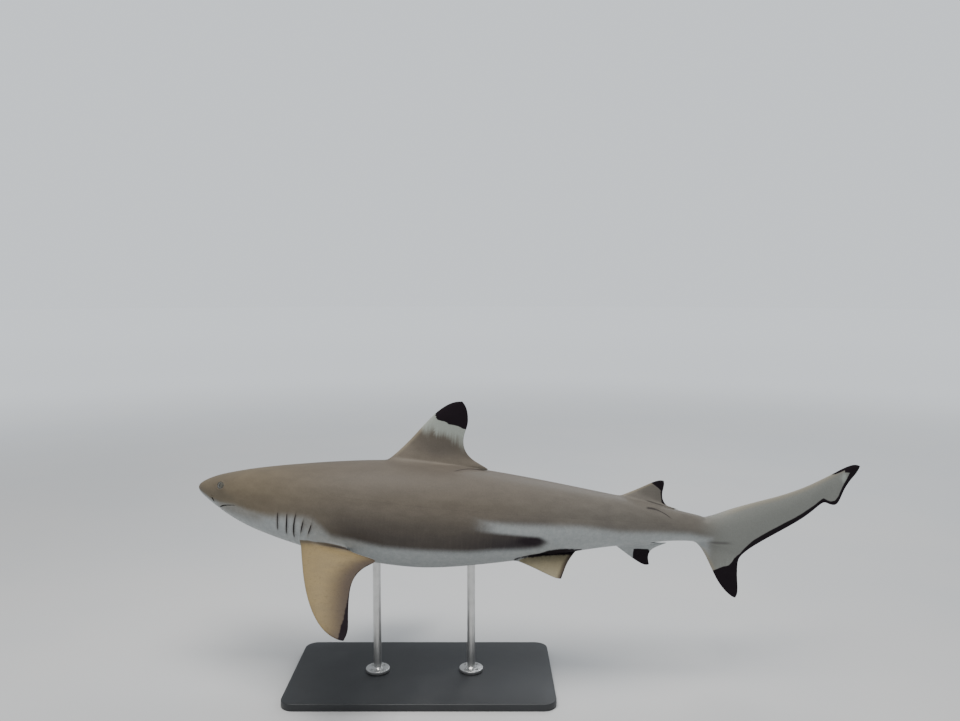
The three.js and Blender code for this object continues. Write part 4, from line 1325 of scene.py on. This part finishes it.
n = Nodes("eyes")
gaze = n.read("gaze", "Vector")
apart = n.add("SeparateXYZ", {"Vector": gaze})
wide = n.maths("DIVIDE", apart.outputs["X"], PUPIL[0])
high = n.maths("DIVIDE", apart.outputs["Y"], PUPIL[1])
slit = n.maths("ADD", n.maths("ABSOLUTE", wide), n.times(high, high))
from_middle = n.length(n.stretch(gaze, 0.1, 0.12, 0))
spokes = n.noise(n.stretch(gaze, 0.9, 0.25, 0.5), 1.2, 4.0, 0.7)
iris = n.blend(n.ramp(spokes, 0.3, 0.7), IRIS_DARK, IRIS_PALE)
iris = n.blend(n.ramp(from_middle, 0.72, 1.0), iris, IRIS_RIM)
iris = n.blend(n.ramp(slit, 0.92, 1.12), PUPIL_BLACK, iris)
n.join(n.shader, {"Base Color": iris, "Roughness": 0.25, "Coat Weight": 1.0, "Coat Roughness": 0.03})
for name, mirror in (("left", 1), ("right", -1)):
    centre, aft, up, look = eye_frame(mirror)
    bpy.ops.mesh.primitive_uv_sphere_add(segments=96, ring_count=48, radius=1)
    eye = bpy.context.object
    eye.name = eye.data.name = "eyeball_" + name
    bearing = np.stack([aft, up, look], 1) * MM
    gazes = eye.data.attributes.new("gaze", "FLOAT_VECTOR", "POINT").data
    for vertex, layer in zip(eye.data.vertices, gazes):
        layer.vector = np.array(vertex.co) * EYE_RADII
        vertex.co = centre + bearing @ (np.array(vertex.co) * EYE_RADII)
    bpy.ops.object.mode_set(mode="EDIT")
    bpy.ops.mesh.select_all(action="SELECT")
    bpy.ops.mesh.normals_make_consistent(inside=False)
    bpy.ops.object.mode_set(mode="OBJECT")
    bpy.ops.object.shade_smooth()
    eye.data.materials.append(n.material)
    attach(eye, "root")
    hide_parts("eye_" + name)


# ---- The stand ------------------------------------------------------------------------------
# A low powder-coated steel plate with rounded corners. Two turned steel rods are welded into
# round flanges, which are screwed to the plate, and reach up into the model's belly.

BASE_SIZE = (0.52, 0.28, 0.014)
BASE_CORNER = 0.026
BASE_BEVEL = 0.002
ROD_STATIONS = (28.5, 42)
ROD_RADIUS = 0.008
ROD_TOPS = (0.25, 0.245)
FLANGE_RADIUS = 0.024
FLANGE_HEIGHT = 0.007
FLANGE_CHAMFER = 0.0015
WELD = 0.0028
SCREWS = 4
SCREW_RADIUS = 0.0032
SCREW_HEIGHT = 0.002
SCREW_CIRCLE = 0.0165
# A screw's rounded rim and its socket: how far in from the edge before, and how far up.
SCREW_STEPS = ((0.0006, 0.0003), (0.0011, -0.001))
SEAT = 0.0003
PAINT = (0.026, 0.028, 0.031, 1)
PAINT_DUSTY = (0.034, 0.036, 0.039, 1)
STEEL = (0.60, 0.60, 0.59, 1)
STEEL_BRIGHT = (0.68, 0.68, 0.67, 1)

n = Nodes("stand_paint")
orange_peel = n.noise(n.place, 900.0, 2.0)
dust = n.noise(n.place, 14.0, 4.0)
n.join(n.shader, {
    "Base Color": n.blend(n.ramp(dust, 0.35, 0.75), PAINT, PAINT_DUSTY),
    "Roughness": n.ramp(dust, 0.3, 0.7, 0.42, 0.52),
    "Normal": n.add("Bump", {"Strength": 0.25, "Distance": 0.0004, "Height": orange_peel}).outputs[0],
})
paint_material = n.material

n = Nodes("stand_steel")
turning = n.noise(n.stretch(n.place, 6, 6, 1400), 1.0, 2.0)
smears = n.noise(n.place, 60.0, 3.0)
n.join(n.shader, {
    "Base Color": n.blend(n.ramp(smears, 0.3, 0.7), STEEL, STEEL_BRIGHT),
    "Metallic": 1.0,
    "Roughness": n.ramp(turning, 0.2, 0.8, 0.3, 0.38),
    "Normal": n.add("Bump", {"Strength": 0.08, "Distance": 0.0001, "Height": turning}).outputs[0],
})
steel_material = n.material


def bevel(piece, width, segments, **settings):
    """Rounds a piece's edges."""
    rounding = piece.modifiers.new("bevel", "BEVEL")
    rounding.width = width
    rounding.segments = segments
    for name, value in settings.items():
        setattr(rounding, name, value)
    bpy.ops.object.modifier_apply(modifier=rounding.name)


def turned_part(vertices, radius, x, y, bottom, height, top_radius=None):
    """An upright cylinder, or a cone if its top has a radius of its own."""
    bpy.ops.mesh.primitive_cone_add(
        vertices=vertices, radius1=radius, radius2=radius if top_radius is None else top_radius,
        depth=height, location=(x, y, bottom + height / 2),
    )
    return bpy.context.object


def finish_piece(piece, name, material):
    piece.name = piece.data.name = name + "_finished"
    piece.data.materials.clear()
    piece.data.materials.append(material)
    bpy.ops.object.transform_apply(location=True, rotation=True, scale=True)
    bpy.ops.object.shade_smooth_by_angle(angle=math.radians(30))
    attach(piece, "root")
    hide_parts(name)


bpy.ops.mesh.primitive_cube_add(size=1, location=(0, 0, BASE_SIZE[2] / 2))
base = bpy.context.object
base.scale = BASE_SIZE
bpy.ops.object.transform_apply(location=True, rotation=True, scale=True)
weights = base.data.attributes.new("bevel_weight_edge", "FLOAT", "EDGE")
for edge, weight in zip(base.data.edges, weights.data):
    first, last = (base.data.vertices[number].co.z for number in edge.vertices)
    weight.value = float(first != last)
bevel(base, BASE_CORNER, 12, limit_method="WEIGHT")
bevel(base, BASE_BEVEL, 4, angle_limit=math.radians(60))
finish_piece(base, "stand_base", paint_material)

foot = BASE_SIZE[2] + SEAT
flange_top = foot + FLANGE_HEIGHT
for name, rod_station, top in zip(("front", "rear"), ROD_STATIONS, ROD_TOPS):
    x, y, _ = place(rod_station, 0, 0)
    rod = turned_part(96, FLANGE_RADIUS, x, y, foot, FLANGE_HEIGHT)
    bevel(rod, FLANGE_CHAMFER, 3)
    parts = [
        turned_part(64, ROD_RADIUS, x, y, foot, top - foot),
        turned_part(64, ROD_RADIUS + WELD, x, y, flange_top, WELD, ROD_RADIUS),
    ]
    for number in range(SCREWS):
        turn = 2 * math.pi * (number + 0.5) / SCREWS
        screw = turned_part(
            32, SCREW_RADIUS, x + math.cos(turn) * SCREW_CIRCLE, y + math.sin(turn) * SCREW_CIRCLE,
            flange_top - SCREW_HEIGHT / 2, SCREW_HEIGHT,
        )
        bpy.ops.object.mode_set(mode="EDIT")
        bpy.ops.mesh.select_mode(type="FACE")
        bpy.ops.mesh.select_all(action="DESELECT")
        for face in bmesh.from_edit_mesh(screw.data).faces:
            face.select_set(face.normal.z > 0.9)
        for inwards, upwards in SCREW_STEPS:
            bpy.ops.mesh.inset(thickness=inwards)
            bpy.ops.mesh.extrude_region_move(TRANSFORM_OT_translate={"value": (0, 0, upwards)})
        bpy.ops.object.mode_set(mode="OBJECT")
        parts.append(screw)
    bpy.ops.object.select_all(action="DESELECT")
    for part in (*parts, rod):
        part.select_set(True)
    bpy.context.view_layer.objects.active = rod
    bpy.ops.object.join()
    finish_piece(rod, "stand_rod_" + name, steel_material)


# ---- Camera, floor and lights ---------------------------------------------------------------
# A wide plain pale floor in a pale even studio, with two large soft lights.

CAMERA_PLACE = (0.115489, -1.661497, 0.789551)
CAMERA_DOWN = math.radians(5.05)
CAMERA_LENS = 32
CAMERA_SENSOR = 36
camera_data = bpy.data.cameras.new("camera")
camera_data.lens = CAMERA_LENS
camera_data.sensor_width = CAMERA_SENSOR
camera = bpy.data.objects.new("camera", camera_data)
camera.location = CAMERA_PLACE
camera.rotation_euler = (math.radians(90) - CAMERA_DOWN, 0, 0)
bpy.context.scene.collection.objects.link(camera)
bpy.context.scene.camera = camera

BACKDROP_COLOUR = (0.90, 0.95, 1.0, 1)
bpy.ops.mesh.primitive_circle_add(vertices=96, radius=30, fill_type="NGON")
floor = bpy.context.object
floor.name = "floor"
n = Nodes("floor")
paint = n.noise(n.place, 1.5, 3.0)
pale = n.blend(n.ramp(paint, 0.3, 0.7), (0.62, 0.63, 0.64, 1), (0.65, 0.65, 0.65, 1))
# The floor glows and is paler the farther it lies from the stand, so that it fades into the bright
# backdrop.
away = n.length(n.place)
n.join(n.shader, {
    "Base Color": n.blend(n.ramp(away, 1.5, 14.0), pale, (0.86, 0.86, 0.86, 1)),
    "Emission Color": BACKDROP_COLOUR,
    "Emission Strength": n.ramp(away, 1.0, 6.0, 0.0, 0.62),
    "Roughness": 0.85,
    "Specular IOR Level": 0.2,
})
floor.data.materials.append(n.material)

world = bpy.data.worlds.new("studio")
bpy.context.scene.world = world
world.use_nodes = True
AMBIENT = 0.42
BACKDROP = 0.96
background = world.node_tree.nodes["Background"]
background.inputs["Color"].default_value = BACKDROP_COLOUR
seen = world.node_tree.nodes.new("ShaderNodeLightPath")
brightness = world.node_tree.nodes.new("ShaderNodeMapRange")
world.node_tree.links.new(seen.outputs["Is Camera Ray"], brightness.inputs["Value"])
brightness.inputs["To Min"].default_value = AMBIENT
brightness.inputs["To Max"].default_value = BACKDROP
world.node_tree.links.new(brightness.outputs[0], background.inputs["Strength"])


def add_light(name, stand_at, target, size, energy, colour):
    data = bpy.data.lights.new(name, "AREA")
    data.energy = energy
    data.size = size
    data.color = colour
    light = bpy.data.objects.new(name, data)
    light.location = stand_at
    light.rotation_euler = (Vector(target) - Vector(stand_at)).to_track_quat("-Z", "Y").to_euler()
    bpy.context.scene.collection.objects.link(light)


add_light("key", (-0.2, -0.65, 2.9), (0, 0, 0.35), 1.8, 80, (1.0, 0.975, 0.94))
add_light("rim", (1.2, 1.9, 2.4), (0.1, 0, 0.4), 1.5, 30, (0.92, 0.96, 1.0))
